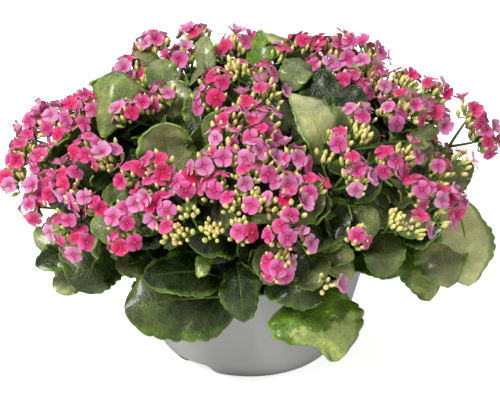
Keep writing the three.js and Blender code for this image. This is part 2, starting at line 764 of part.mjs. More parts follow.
// The eight-sided knot that a tuft grows from. One face looks back along the tuft's branch,
// one looks out, three lean out and three lean back.
function knot(joint, out, turn) {
  const [side, other] = crossAxes(out);
  const flat = KNOT_RADIUS * Math.sqrt(1 / 3);
  const round = KNOT_RADIUS * Math.sqrt(2 / 3);
  const low = ringAround(joint.clone().addScaledVector(out, -flat), side, other, round, 3, turn);
  const top = joint.clone().addScaledVector(out, flat);
  const high = ringAround(top, side, other, round, 3, turn + Math.PI / 3);
  const ports = [{ corners: high, polar: 0, round: 0 }];
  for (let k = 0; k < 3; k += 1) {
    const next = (k + 1) % 3;
    const angle = turn + (k * 2 * Math.PI) / 3;
    ports.push({
      corners: [high[k], low[next], high[next]],
      polar: 1,
      round: angle + (2 * Math.PI) / 3,
    });
  }
  for (let k = 0; k < 3; k += 1) {
    const next = (k + 1) % 3;
    const angle = turn + (k * 2 * Math.PI) / 3;
    ports.push({ corners: [low[k], low[next], high[k]], polar: 2, round: angle + Math.PI / 3 });
  }
  return { ports, back: [low[0], low[2], low[1]] };
}

// A ring of three about a point, turned like the three corners it grows from.
function ringLike(corners, centre, axis, radius) {
  const middle = corners[0].clone().add(corners[1]).add(corners[2]).divideScalar(3);
  return corners.map((corner) => {
    const arm = corner.clone().sub(middle);
    arm.addScaledVector(axis, -arm.dot(axis)).normalize();
    return centre.clone().addScaledVector(arm, radius);
  });
}

// The rings of an open flower: a slim neck, then four broad petals.
function floretRings(corners, centre, facing, turn, width) {
  const [side, other] = crossAxes(facing);
  const neck = ringLike(corners, centre.clone().addScaledVector(facing, -FLORET_NECK), facing, 1.4);
  const arm = neck[0].clone().sub(centre);
  const start = Math.atan2(arm.dot(other), arm.dot(side));
  const outline = [];
  for (let k = 0; k < 4; k += 1) {
    for (const [offset, share] of PETAL_CORNERS) {
      const angle = start + turn + (k * 90 + offset) * DEGREE;
      const radius = (width / 2) * share;
      outline.push(centre.clone()
        .addScaledVector(side, Math.cos(angle) * radius)
        .addScaledVector(other, Math.sin(angle) * radius));
    }
  }
  return [corners, neck, outline];
}

function budRings(corners, centre, way) {
  const belly = ringLike(corners, centre, way, BUD_WIDTH / 2);
  return [corners, belly, [centre.clone().addScaledVector(way, BUD_WIDTH)]];
}

// A way out of a tuft: polar angle from its middle, and angle round it.
function spread(out, polarAngle, roundAngle) {
  const [side, other] = crossAxes(out);
  return out.clone().multiplyScalar(Math.cos(polarAngle))
    .addScaledVector(side, Math.sin(polarAngle) * Math.cos(roundAngle))
    .addScaledVector(other, Math.sin(polarAngle) * Math.sin(roundAngle));
}

// A tuft on its branch as one closed skin: every face of the knot carries a flower, a bud,
// the branch or nothing.
function tuftShape(part, branchEnd, number) {
  const { joint, out, open, width, buds } = part;
  const { ports, back } = knot(joint, out, draw(number) * 2 * Math.PI);
  const points = [];
  const faces = [];
  const numberOf = (point) => {
    let index = points.indexOf(point);
    if (index < 0) {
      index = points.push(point) - 1;
    }
    return index;
  };
  const addRings = (rings) => {
    const numbered = rings.map((ring) => ring.map(numberOf));
    for (let i = 1; i < numbered.length; i += 1) {
      bridge(faces, numbered[i - 1], numbered[i]);
    }
  };
  const order = open === 1 || open === 4 ? [0, 1, 2, 3] : [1, 2, 3, 0];
  const flowerPorts = order.slice(0, open);
  const budOrder = [...order.slice(open), 4, 5, 6].filter((port) => open !== 3 || port !== 0);
  const budPorts = budOrder.slice(0, buds);
  ports.forEach((port, index) => {
    const reach = TUFT_HEIGHT * (0.96 + 0.08 * draw(number + 31 * index));
    const isFlower = flowerPorts.includes(index);
    const polar = (isFlower ? [0, open === 4 ? 66 : 43, 85] : [0, 48, 85])[port.polar];
    const way = spread(out, polar * DEGREE, port.round);
    if (isFlower) {
      const centre = joint.clone().addScaledVector(way, reach);
      const facing = centre.clone().sub(joint).addScaledVector(out, 12).normalize();
      const turn = (draw(number + 17 * index) * 90) * DEGREE;
      const rings = floretRings(port.corners, centre, facing, turn, width);
      addRings(rings);
      const outline = rings[2].map(numberOf);
      for (let k = 1; k < outline.length - 1; k += 1) {
        faces.push([outline[0], outline[k], outline[k + 1]]);
      }
    } else if (budPorts.includes(index)) {
      const centre = joint.clone().addScaledVector(way, reach * 0.7);
      addRings(budRings(port.corners, centre, way));
    } else {
      faces.push(port.corners.map(numberOf));
    }
  });
  bridge(faces, [numberOf(branchEnd)], [...back].reverse().map(numberOf));
  return { points, faces };
}

function headShapes(frame, number) {
  const { neck, way, parts } = frame;
  const [side, other] = crossAxes(way);
  const start = neck.clone().addScaledVector(way, -NECK_LENGTH + GAP);
  const collar = [
    ringAround(start, side, other, STALK_RADIUS, 3),
    ringAround(neck, side, other, NECK_RADIUS, 3),
    [neck.clone().addScaledVector(way, 3)],
  ];
  const shapes = [loft(collar)];
  parts.forEach((part, index) => {
    shapes.push(tuftShape(part, neck, number + 101 * index));
  });
  return shapes;
}

// The plant put together.

// Stems and stalks keep their place, leaves give way to them, and heads give way to both.
const plants = [];
const heads = [];
let headNumber = 1;
for (const [name, stem] of Object.entries(STEMS)) {
  const curve = stemCurve(stem);
  const entries = Object.entries(stem.heads);
  const frames = entries.map(([, tufts]) => headFrame(tufts, stem));
  const core = [rod(curve, STEM_RADIUS, 3, STEM_STEPS, STEM_SIDES)];
  const lines = [curve.getPoints(STEM_STEPS)];
  frames.forEach((frame, rank) => {
    const stalk = stalkCurve(stem, frame, rank, frames.length);
    lines.push(stalk.getPoints(STALK_STEPS));
    core.push(rod(stalk, STALK_ROOT, STALK_RADIUS, STALK_STEPS, 3));
    heads.push({ name: `head_${name}_${entries[rank][0]}`, shapes: headShapes(frame, headNumber) });
    headNumber += 1;
  });
  const leaves = stem.leaves.map((leaf) => leafShape(leaf, lines));
  plants.push({ name: `stem_${name}`, core, leaves, curve });
}

// The room already taken, as solids swollen by the gap, kept with their boxes.
const taken = [];

function boxesMeet(a, b) {
  return [0, 1, 2].every((axis) => a.min[axis] <= b.max[axis] && b.min[axis] <= a.max[axis]);
}

function cleared(solid, owner) {
  const box = solid.boundingBox();
  const near = taken.filter((item) => item.owner !== owner && boxesMeet(item.box, box));
  if (near.length === 0) {
    return solid;
  }
  return solid.subtract(wasm.Manifold.union(near.map((item) => item.solid)));
}

function take(shapes, owner) {
  for (const shape of shapes) {
    const solid = solidOf(grown(shape, GAP + 0.05));
    taken.push({ owner, solid, box: solid.boundingBox() });
  }
}

const potSolid = bowl();
taken.push({ owner: 'pot', solid: potSolid, box: potSolid.boundingBox() });

for (const plant of plants) {
  plant.solid = largestBody(cleared(joined(plant.core), plant.name));
  take(plant.core, plant.name);
}
for (const plant of plants) {
  for (const shape of plant.leaves) {
    plant.solid = plant.solid.add(cleared(solidOf(shape), plant.name));
  }
  plant.solid = largestBody(plant.solid);
  take(plant.leaves, plant.name);
}
for (const head of heads) {
  head.solid = largestBody(cleared(joined(head.shapes), head.name));
  take(head.shapes, head.name);
}

// The soil: filled up to its crown, with a plain hole for every stem.

function soil() {
  const [rim, knee, corner] = BOWL_INSIDE;
  const rise = (SOIL_EDGE_HEIGHT - knee[1]) / (rim[1] - knee[1]);
  const edgeRadius = THREE.MathUtils.lerp(knee[0], rim[0], rise);
  const inset = GAP * 1.2;
  const profile = [
    [0, corner[1] + GAP],
    [corner[0] - inset, corner[1] + GAP],
    [knee[0] - inset, knee[1]],
    [edgeRadius - inset, SOIL_EDGE_HEIGHT],
    [70, SOIL_EDGE_HEIGHT + SOIL_CROWN],
    [0, SOIL_EDGE_HEIGHT + SOIL_CROWN],
  ];
  let solid = turned(profile, BOWL_SIDES);
  for (const plant of plants) {
    const foot = plant.curve.getPoint(0);
    const next = plant.curve.getPoint(1 / STEM_STEPS);
    const down = foot.clone().sub(next).normalize();
    const path = new THREE.LineCurve3(foot.addScaledVector(down, HOLE_MARGIN), next);
    const radius = STEM_RADIUS + HOLE_MARGIN;
    solid = solid.subtract(solidOf(rod(path, radius, radius, 1, STEM_SIDES)));
  }
  return largestBody(solid);
}

// The pot and the plant as named pieces.

function meshOf(name, solid, colour, roughness) {
  const { vertProperties, triVerts } = largestBody(solid.simplify(0.04)).getMesh();
  const geometry = new THREE.BufferGeometry();
  geometry.setAttribute('position', new THREE.BufferAttribute(new Float32Array(vertProperties), 3));
  geometry.setIndex(new THREE.BufferAttribute(new Uint32Array(triVerts), 1));
  geometry.computeVertexNormals();
  const material = new THREE.MeshStandardMaterial({ color: colour, roughness, metalness: 0 });
  const mesh = new THREE.Mesh(geometry, material);
  mesh.name = name;
  return mesh;
}

const group = new THREE.Group();
group.name = 'flaming_katy_bowl';
group.add(meshOf('pot', potSolid, 0xa9aaa8, 0.6));
group.add(meshOf('soil', soil(), 0x2e2620, 0.95));
for (const plant of plants) {
  group.add(meshOf(plant.name, plant.solid, 0x3f6a2c, 0.45));
}
for (const head of heads) {
  group.add(meshOf(head.name, head.solid, 0xe0508f, 0.6));
}

export default group;
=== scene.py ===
import math

import bpy
import numpy as np
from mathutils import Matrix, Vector


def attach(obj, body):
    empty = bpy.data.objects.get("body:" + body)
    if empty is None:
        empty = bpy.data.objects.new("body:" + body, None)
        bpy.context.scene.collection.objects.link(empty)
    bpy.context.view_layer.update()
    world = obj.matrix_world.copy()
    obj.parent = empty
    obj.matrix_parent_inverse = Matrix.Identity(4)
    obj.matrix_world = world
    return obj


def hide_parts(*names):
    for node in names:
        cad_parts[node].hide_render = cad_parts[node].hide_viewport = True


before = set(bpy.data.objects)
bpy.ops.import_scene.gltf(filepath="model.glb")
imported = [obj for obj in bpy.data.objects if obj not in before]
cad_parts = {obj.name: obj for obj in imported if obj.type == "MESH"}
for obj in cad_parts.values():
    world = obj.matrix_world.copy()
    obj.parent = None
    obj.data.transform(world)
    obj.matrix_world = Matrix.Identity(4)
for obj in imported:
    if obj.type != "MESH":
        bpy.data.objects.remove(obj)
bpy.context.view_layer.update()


# The pot: a round moulded plastic bowl, light grey and a little shiny, with a plain rim.
# It stands on a narrow foot ring that three shallow arches part, and its floor has drain
# holes.
MM = 0.001
FOOT_RADIUS = 73
POT_PROFILE = [
    (0, 17), (83, 17), (84.4, 16.2), (69.4, 1), (70.2, 0), (72.4, 0), (74, 0.5), (78.5, 3.2),
    (82.8, 6.8), (87.4, 11.6), (91, 16.5), (93.8, 21.4), (95.8, 27), (97.6, 33), (101.7, 48),
    (107.2, 68), (112.6, 88), (117.3, 105), (118, 107.6), (117.9, 109.2), (117.2, 110),
    (116.1, 110), (115.4, 109), (111, 92), (93, 27), (91.4, 23.4), (88, 20), (0, 20),
]
POT_SIDES = 144
ARCH_AZIMUTHS = (229, 349, 109)
ARCH_HEIGHT = 15.5
ARCH_WIDTH = 44
ARCH_REACH = 40
ARCH_ROUNDING = 6
DRAIN_RADIUS = 4
DRAIN_CIRCLE = 40
DRAIN_HEIGHT = 18
DRAIN_DEPTH = 12


def select_only(piece):
    """Selects one piece alone, because the frame and new primitives come in selected."""
    bpy.ops.object.select_all(action="DESELECT")
    piece.select_set(True)
    bpy.context.view_layer.objects.active = piece


def placed(piece):
    """Bakes a piece's place, turn and size into its mesh."""
    select_only(piece)
    bpy.ops.object.transform_apply(location=True, rotation=True, scale=True)


def smooth(piece, degrees):
    """Smooths a piece's faces and leaves edges that turn by more degrees than that sharp."""
    select_only(piece)
    bpy.ops.object.shade_smooth_by_angle(angle=math.radians(degrees))


def spun(name, profile, sides):
    """A closed shell turned about Z from (radius, height) points in millimetres."""
    mesh = bpy.data.meshes.new(name)
    points = [(radius * MM, 0, height * MM) for radius, height in profile]
    mesh.from_pydata(points, [(i, i + 1) for i in range(len(points) - 1)], [])
    piece = bpy.data.objects.new(name, mesh)
    bpy.context.collection.objects.link(piece)
    select_only(piece)
    bpy.ops.object.mode_set(mode="EDIT")
    bpy.ops.mesh.select_all(action="SELECT")
    bpy.ops.mesh.spin(steps=sides, angle=2 * math.pi, center=(0, 0, 0), axis=(0, 0, 1))
    bpy.ops.mesh.select_all(action="SELECT")
    bpy.ops.mesh.remove_doubles(threshold=0.01 * MM)
    bpy.ops.mesh.normals_make_consistent(inside=False)
    bpy.ops.object.mode_set(mode="OBJECT")
    return piece


def cut_out(piece, cutter):
    """Takes a cutter's shape out of a piece and removes the cutter."""
    placed(cutter)
    select_only(piece)
    cut = piece.modifiers.new("cut", "BOOLEAN")
    cut.operation = "DIFFERENCE"
    cut.solver = "EXACT"
    cut.object = cutter
    bpy.ops.object.modifier_apply(modifier=cut.name)
    bpy.data.objects.remove(cutter)


def socket(node, name, value):
    """Sets one input of a shader node."""
    node.inputs[name].default_value = value


def new_material(name, roughness=0.5):
    """A plain material, with its node tree and its shader."""
    material = bpy.data.materials.new(name)
    material.use_nodes = True
    tree = material.node_tree
    shader = tree.nodes["Principled BSDF"]
    socket(shader, "Roughness", roughness)
    return material, tree, shader


def ramp(tree, factor, stops):
    """A colour ramp read from a value, with (place, colour) stops."""
    node = tree.nodes.new("ShaderNodeValToRGB")
    elements = node.color_ramp.elements
    while len(elements) < len(stops):
        elements.new(0.5)
    for element, (place, colour) in zip(elements, stops):
        element.position = place
        element.color = (*colour, 1)
    tree.links.new(factor, node.inputs["Fac"])
    return node.outputs["Color"]


def mask(tree, value, dark, light):
    """A soft mask: black where the value is dark, white where it is light."""
    return ramp(tree, value, sorted([(dark, (0, 0, 0)), (light, (1, 1, 1))]))


def object_coords(tree):
    """Coordinates in metres that stay with the piece."""
    return tree.nodes.new("ShaderNodeTexCoord").outputs["Object"]


def noise(tree, coordinates, scale, detail, roughness=0.5):
    """A soft noise value over the given coordinates."""
    node = tree.nodes.new("ShaderNodeTexNoise")
    socket(node, "Scale", scale)
    socket(node, "Detail", detail)
    socket(node, "Roughness", roughness)
    tree.links.new(coordinates, node.inputs["Vector"])
    return node.outputs["Fac"]


def maths(tree, operation, first, second=None, clamp=False):
    """One arithmetic step on values, each a socket or a number."""
    node = tree.nodes.new("ShaderNodeMath")
    node.operation = operation
    node.use_clamp = clamp
    for index, value in enumerate((first, second)):
        if value is None:
            continue
        if isinstance(value, (int, float)):
            node.inputs[index].default_value = value
        else:
            tree.links.new(value, node.inputs[index])
    return node.outputs[0]


def blend_colours(tree, factor, first, second):
    """Mixes two colours, each a socket or three numbers."""
    node = tree.nodes.new("ShaderNodeMix")
    node.data_type = "RGBA"
    tree.links.new(factor, node.inputs["Factor"])
    for name, colour in (("A", first), ("B", second)):
        target = [s for s in node.inputs if s.name == name and s.type == "RGBA"][0]
        if isinstance(colour, tuple):
            target.default_value = (*colour, 1)
        else:
            tree.links.new(colour, target)
    return [s for s in node.outputs if s.type == "RGBA"][0]


def bump(tree, shader, height, strength, distance):
    """Feeds a height into the shader's normal."""
    node = tree.nodes.new("ShaderNodeBump")
    socket(node, "Strength", strength)
    socket(node, "Distance", distance)
    tree.links.new(height, node.inputs["Height"])
    tree.links.new(node.outputs["Normal"], shader.inputs["Normal"])


pot = spun("pot_bowl", POT_PROFILE, POT_SIDES)
for azimuth in ARCH_AZIMUTHS:
    angle = math.radians(azimuth)
    reach = FOOT_RADIUS * MM
    place = (reach * math.cos(angle), reach * math.sin(angle), 0)
    bpy.ops.mesh.primitive_cube_add(size=1, location=place, rotation=(0, 0, angle))
    arch = bpy.context.object
    arch.scale = (ARCH_REACH * MM, ARCH_WIDTH * MM, 2 * ARCH_HEIGHT * MM)
    placed(arch)
    corners = arch.modifiers.new("rounding", "BEVEL")
    corners.width = ARCH_ROUNDING * MM
    corners.segments = 4
    bpy.ops.object.modifier_apply(modifier=corners.name)
    cut_out(pot, arch)
for turn in range(3):
    angle = turn * 2 * math.pi / 3
    reach = DRAIN_CIRCLE * MM
    place = (reach * math.cos(angle), reach * math.sin(angle), DRAIN_HEIGHT * MM)
    bpy.ops.mesh.primitive_cylinder_add(vertices=24, radius=DRAIN_RADIUS * MM,
                                        depth=DRAIN_DEPTH * MM, location=place)
    cut_out(pot, bpy.context.object)
smooth(pot, 28)

plastic, tree, shader = new_material("grey_plastic")
coords = object_coords(tree)
cloud = noise(tree, coords, 14, 4)
grain = noise(tree, coords, 900, 2)
mottled = maths(tree, "ADD", maths(tree, "MULTIPLY", cloud, 0.8),
                maths(tree, "MULTIPLY", grain, 0.2))
grey = ramp(tree, mottled, [(0.3, (0.38, 0.38, 0.37)), (0.7, (0.45, 0.45, 0.435))])
tree.links.new(grey, shader.inputs["Base Color"])
worn = ramp(tree, cloud, [(0.35, (0.38,) * 3), (0.7, (0.5,) * 3)])
tree.links.new(worn, shader.inputs["Roughness"])
bump(tree, shader, grain, 0.12, 0.0002)
pot.data.materials.append(plastic)
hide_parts("pot")
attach(pot, "root")


# The soil: dark moist potting mix filled to a low crown just under the rim, with crumbs of
# peat and a few pale grains of perlite lying loose on it.
SOIL_RADIUS = 111.3
SOIL_EDGE = 96
SOIL_CROWN = 5
SOIL_PROFILE = [(0, 20.4), (87.4, 20.4), (92.5, 27.3), (SOIL_RADIUS, SOIL_EDGE)]
SOIL_SIDES = 72
SOIL_RINGS = 22
CRUMB_COUNT = 260


def draw(number):
    """A steady draw between 0 and 1 for a whole number."""
    wave = math.sin(number * 12.9898) * 43758.5453
    return wave - math.floor(wave)


def soil_height(x, y):
    """Height of the soil's top in millimetres: a low crown with rolling lumps."""
    share = min(1.0, math.hypot(x, y) / SOIL_RADIUS)
    rolling = math.sin(x * 0.21 + 1.3) * math.sin(y * 0.19) + 0.6 * math.sin(x * 0.47 + y * 0.38)
    return SOIL_EDGE + SOIL_CROWN * (1 - share ** 3) + 0.9 * rolling * (1 - share ** 6)


top_profile = [(SOIL_RADIUS * (1 - k / SOIL_RINGS), SOIL_EDGE) for k in range(1, SOIL_RINGS + 1)]
soil = spun("soil_mix", SOIL_PROFILE + top_profile, SOIL_SIDES)
for vertex in soil.data.vertices:
    x, y, z = (value / MM for value in vertex.co)
    if z > SOIL_EDGE - 0.01:
        vertex.co.z = soil_height(x, y) * MM
smooth(soil, 50)

earth, tree, shader = new_material("potting_mix", 0.95)
coords = object_coords(tree)
coarse = noise(tree, coords, 120, 6, 0.7)
fine = noise(tree, coords, 700, 4, 0.6)
lumps = maths(tree, "ADD", coarse, maths(tree, "MULTIPLY", fine, 0.5))
brown = ramp(tree, lumps, [(0.45, (0.008, 0.006, 0.004)), (0.8, (0.035, 0.024, 0.016)),
                           (0.98, (0.09, 0.065, 0.045))])
tree.links.new(brown, shader.inputs["Base Color"])
bump(tree, shader, lumps, 0.9, 0.0025)
soil.data.materials.append(earth)
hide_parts("soil")
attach(soil, "root")


def mesh_piece(name, points, faces, material):
    """An object from points in millimetres and faces, with smooth faces and one material."""
    mesh = bpy.data.meshes.new(name)
    mesh.from_pydata((np.asarray(points) * MM).tolist(), [], faces)
    mesh.materials.append(material)
    mesh.polygons.foreach_set("use_smooth", [True] * len(mesh.polygons))
    mesh.update()
    piece = bpy.data.objects.new(name, mesh)
    bpy.context.collection.objects.link(piece)
    return piece


def pattern_of(piece):
    """Points in millimetres and faces of a shaped primitive, which is then removed."""
    placed(piece)
    points = np.array([vertex.co[:] for vertex in piece.data.vertices]) / MM
    faces = [tuple(polygon.vertices) for polygon in piece.data.polygons]
    bpy.data.objects.remove(piece)
    return points, faces


perlite, tree, shader = new_material("perlite", 0.85)
pale = ramp(tree, noise(tree, object_coords(tree), 500, 3),
            [(0.3, (0.42, 0.40, 0.34)), (0.7, (0.72, 0.70, 0.64))])
tree.links.new(pale, shader.inputs["Base Color"])
# Kind, material, share of all crumbs, smallest and largest radius, and first draw.
CRUMBS = (("peat", earth, 0.75, 0.9, 2.6, 3), ("perlite", perlite, 0.25, 0.7, 1.5, 5000))

bpy.ops.mesh.primitive_ico_sphere_add(subdivisions=2, radius=MM)
crumb_points, crumb_faces = pattern_of(bpy.context.object)
rough = 1 + 0.35 * np.array([draw(i * 3.7 + 11) - 0.5 for i in range(len(crumb_points))])
crumb_points = crumb_points * rough[:, None]
for kind, material, share, low, high, first in CRUMBS:
    points, faces = [], []
    for k in range(int(CRUMB_COUNT * share)):
        salt = k * 7 + first
        angle = draw(salt) * 2 * math.pi
        radius = (SOIL_RADIUS - 4) * math.sqrt(draw(salt + 1))
        x, y = radius * math.cos(angle), radius * math.sin(angle)
        size = low + (high - low) * draw(salt + 2) ** 2
        stretch = np.array([1 + 0.5 * draw(salt + 3), 1, 0.7 + 0.3 * draw(salt + 4)])
        start = len(points) * len(crumb_points)
        points.append(crumb_points * size * stretch + (x, y, soil_height(x, y) + 0.3 * size))
        faces.extend(tuple(v + start for v in face) for face in crumb_faces)
    crumbs = mesh_piece(f"soil_{kind}", np.concatenate(points), faces, material)
    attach(crumbs, "root")


# The stems and flower stalks: round, juicy and green, each stem rising from the soil to its
# fork. From there a stalk runs to the neck of each flower head and parts into thin branches,
# which end in the pedicels of the flowers and buds.
# Each stem's place in the soil and its fork.
STEMS = {
    "front_left": ((-22, -38), (-20, -84, 205)),
    "front_right": ((20, -40), (28, -92, 200)),
    "front_low": ((0, -74), (8, -118, 160)),
    "left_front": ((-50, -56), (-66, -104, 178)),
    "left_low": ((-76, -30), (-118, -78, 165)),
    "left": ((-80, 12), (-140, 2, 175)),
    "left_back": ((-48, 30), (-88, 22, 222)),
    "middle": ((0, 8), (2, 20, 225)),
    "right_back": ((46, 30), (84, 20, 222)),
    "right": ((80, 14), (138, 14, 185)),
    "right_low": ((76, -26), (122, -72, 170)),
    "right_front": ((50, -54), (76, -98, 172)),
    "back_left": ((-34, 68), (-62, 104, 195)),
    "back_right": ((34, 68), (62, 104, 195)),
}
# Heads of each stem. A tuft is the top of a small dome, its open flowers and its buds.
HEADS = {
    "front_left": {
        "crest": [(-33, -39, 307, 5, 8), (-12, -28, 314, 1, 13), (13, -30, 310, 4, 14)],
        "breast": [
            (-39, -63, 294, 5, 8), (-6, -83, 295, 2, 7), (17, -63, 300, 4, 8),
            (-19, -104, 288, 3, 5), (12, -99, 288, 5, 7),
        ],
        "throat": [(-26, -126, 279, 5, 8), (9, -129, 279, 9, 7)],
        "cheek": [(-43, -152, 259, 3, 3), (-32, -163, 244, 4, 9), (-23, -144, 265, 3, 10)],
        "buds": [
            (-35, -191, 208, 0, 15), (-75, -189, 207, 1, 6), (-63, -189, 203, 0, 10),
            (-56, -183, 224, 0, 7),
        ],
    },
    "front_right": {
        "brow": [
            (2, -144, 268, 4, 5), (16, -152, 258, 3, 9), (41, -147, 263, 5, 2),
            (33, -163, 247, 3, 7), (57, -163, 241, 4, 3),
        ],
        "bib": [
            (-16, -183, 233, 1, 9), (4, -185, 235, 1, 11), (-7, -195, 210, 2, 11),
            (-4, -165, 253, 3, 8),
        ],
        "cascade": [
            (27, -181, 232, 2, 8), (42, -181, 229, 4, 3), (30, -193, 211, 5, 9),
            (48, -195, 200, 2, 2),
        ],
    },
    "front_low": {
        "drip": [(27, -203, 180, 6, 14), (72, -189, 153, 1, 3)],
    },
    "left_front": {
        "plume": [(-113, -140, 246, 4, 4), (-91, -157, 239, 7, 4), (-105, -163, 224, 4, 1)],
        "feather": [(-86, -144, 257, 3, 6), (-63, -151, 243, 5, 15), (-80, -168, 223, 4, 1)],
        "pendant": [(-121, -167, 214, 4, 6), (-120, -171, 193, 5, 5)],
    },
    "left_low": {
        "skirt": [(-180, -127, 188, 5, 2), (-167, -135, 174, 6, 6)],
        "ruff": [
            (-162, -122, 214, 4, 4), (-146, -132, 207, 4, 1), (-180, -93, 221, 9, 5),
            (-204, -73, 208, 9, 6), (-213, -81, 191, 7, 8),
        ],
    },
    "left": {
        "wing": [(-241, -20, 196, 8, 16), (-233, -14, 220, 10, 16), (-208, -36, 223, 5, 5)],
        "collar": [(-162, -79, 250, 8, 4), (-138, -95, 246, 4, 13)],
        "shoulder": [
            (-219, 20, 243, 6, 5), (-203, 10, 249, 9, 7), (-224, 10, 229, 5, 5),
            (-189, -10, 238, 5, 8),
        ],
    },
    "left_back": {
        "ear": [(-157, -17, 272, 10, 7), (-178, 5, 263, 8, 9)],
        "slope": [(-122, -55, 277, 4, 8), (-105, -46, 282, 4, 6), (-85, -36, 286, 4, 7)],
        "crown": [(-101, 69, 309, 8, 8), (-126, 51, 289, 8, 8), (-107, 33, 284, 3, 16)],
        "peak": [(-57, 65, 319, 6, 8), (-72, 49, 303, 7, 16)],
    },
    "middle": {
        "summit": [(-15, 55, 313, 7, 16), (27, 39, 309, 3, 9), (55, 53, 312, 5, 6)],
    },
    "right_back": {
        "crown": [(79, 61, 309, 7, 7), (97, 67, 309, 5, 10), (73, 26, 300, 7, 9)],
        "ridge": [(101, 51, 300, 7, 6), (126, 63, 301, 6, 7), (122, 35, 292, 6, 6)],
        "bank": [(100, 14, 290, 7, 6), (111, 4, 283, 7, 6), (135, 12, 279, 5, 16)],
        "slope": [(105, -81, 281, 3, 9), (105, -102, 268, 0, 13), (84, -118, 272, 2, 13)],
    },
    "right": {
        "knoll": [(158, 34, 281, 4, 12), (187, 29, 272, 5, 8)],
        "shoulder": [(140, -47, 274, 6, 5), (161, -39, 277, 7, 12), (185, -25, 261, 6, 7)],
        "wing": [(225, 8, 253, 8, 6), (237, 4, 230, 8, 9)],
    },
    "right_low": {
        "knot": [(136, -106, 246, 4, 6), (152, -96, 247, 2, 7), (127, -117, 236, 2, 2)],
        "tassel": [(183, -77, 228, 4, 12), (207, -61, 228, 2, 3)],
        "fan": [
            (162, -118, 222, 5, 7), (180, -116, 213, 4, 3), (198, -101, 204, 6, 3),
            (183, -126, 193, 2, 1),
        ],
        "pendant": [(157, -156, 197, 2, 5), (136, -154, 203, 0, 15)],
    },
    "right_front": {
        "lapel": [(96, -142, 256, 3, 6), (100, -149, 242, 4, 9), (71, -127, 255, 0, 5)],
        "single": [(102, -173, 196, 2, 9)],
    },
    "back_left": {},
    "back_right": {},
}
# The far side's heads stand in rings: azimuths, radius, height, and how far two tufts part.
BACK_HEAD_RINGS = [
    ((22, 55, 88, 125, 160), 205, 185, 22),
    ((42, 92, 138), 165, 240, 22),
    ((96,), 100, 284, 20),
]
BACK_TUFT_RISE = 18
BACK_STEMS = ((24, "right"), (44, "right_back"), (90, "back_right"), (136, "back_left"),
              (156, "left_back"), (180, "left"))
STEM_FOOT = SOIL_EDGE - 22
STEM_RADIUS = 4.2
FORK_RADIUS = 3.0
STALK_RADIUS = 2.0
JOINT_SWELLING = 1.14
LINE_STEPS = 60
TUFT_HEIGHT = 21
NECK_DEPTHS = (14, 22)
DOME_CENTRE = np.array([0, 0, 130.0])
UP = np.array([0, 0, 1.0])
GREEN_WOOD, GREEN_STALK, GREEN_NECK = 0.0, 0.2, 0.55


def unit(vector):
    """The same direction, one long."""
    return vector / np.linalg.norm(vector)


def polar(azimuth, radius, height):
    """A place from its azimuth in degrees, radius and height."""
    angle = math.radians(azimuth)
    return (radius * math.cos(angle), radius * math.sin(angle), height)


def back_stem(azimuth):
    """The stem that carries what grows at an azimuth of the far side."""
    return next(name for limit, name in BACK_STEMS if azimuth <= limit)


seed = 1
for level, (azimuths, radius, height, part) in enumerate(BACK_HEAD_RINGS):
    for place, azimuth in enumerate(azimuths):
        turn = math.degrees(part / radius) * 0.9
        ring_height = height + 16 * (draw(seed) - 0.5)
        tufts = []
        for way in (-1, 0, 1):
            rise = way * 9 * (draw(seed + 7) - 0.5) if way else BACK_TUFT_RISE
            reach = radius - (0 if way else BACK_TUFT_RISE / 2)
            spot = polar(azimuth + way * turn, reach, ring_height + rise)
            tufts.append((*spot, 7 if way else 9, 9))
        HEADS[back_stem(azimuth)][f"far_{level}_{place}"] = tufts
        seed += 1


def bezier(corners, count):
    """Points on a quadratic or cubic curve through its first and last corner."""
    t = np.linspace(0, 1, count)[:, None]
    a, *middle, d = (np.asarray(corner, float) for corner in corners)
    if len(middle) == 1:
        return (1 - t) ** 2 * a + 2 * t * (1 - t) * middle[0] + t ** 2 * d
    b, c = middle
    return (1 - t) ** 3 * a + 3 * t * (1 - t) ** 2 * b + 3 * t ** 2 * (1 - t) * c + t ** 3 * d


def stem_line(name, count=14):
    """The middle line of a stem, upright at first and then leaning to its fork."""
    (x, y), fork = STEMS[name]
    bend = (x, y, STEM_FOOT + 0.6 * (fork[2] - STEM_FOOT))
    return bezier([(x, y, STEM_FOOT), bend, fork], count)


def head_frame(tufts, fork):
    """Joints and facings of a head's tufts, its neck, and the way its stalk arrives."""
    parts = []
    for x, y, z, flowers, buds in tufts:
        top = np.array([x, y, z], float)
        out = unit(unit(top - DOME_CENTRE) + 0.35 * UP)
        parts.append((top - TUFT_HEIGHT * out, out, flowers, buds))
    mean = sum(part[0] for part in parts) / len(parts)
    inward = unit(np.array(fork, float) - mean)
    way = unit(0.5 * inward - 0.5 * parts[0][1])
    depth = NECK_DEPTHS[0] if len(parts) == 1 else NECK_DEPTHS[1]
    return parts, mean + depth * way, -way


def stalk_line(name, neck, way, rank, count):
    """The middle line of the flower stalk from near the fork to a neck."""
    line = stem_line(name, LINE_STEPS)
    share = 0.97 if count == 1 else 0.8 + 0.18 * (rank / (count - 1))
    start = line[round(share * (LINE_STEPS - 1))]
    end = neck - 2 * way
    rise = start + 0.3 * (end - start) + 6 * UP
    approach = end - 0.3 * np.linalg.norm(end - start) * way
    return bezier([start, rise, approach, end], 12)


def point_layer(piece, name, values):
    """Keeps one value a point on a piece, for its material to read."""
    layer = piece.data.attributes.new(name, "FLOAT", "POINT")
    layer.data.foreach_set("value", np.array(values, np.float32))


def map_layer(piece, name, places):
    """Keeps a map on a piece, with a place across and along for each of its points."""
    corners = np.zeros(len(piece.data.loops), np.int32)
    piece.data.loops.foreach_get("vertex_index", corners)
    layer = piece.data.uv_layers.new(name=name)
    layer.data.foreach_set("uv", np.concatenate(places)[corners].astype(np.float32).ravel())


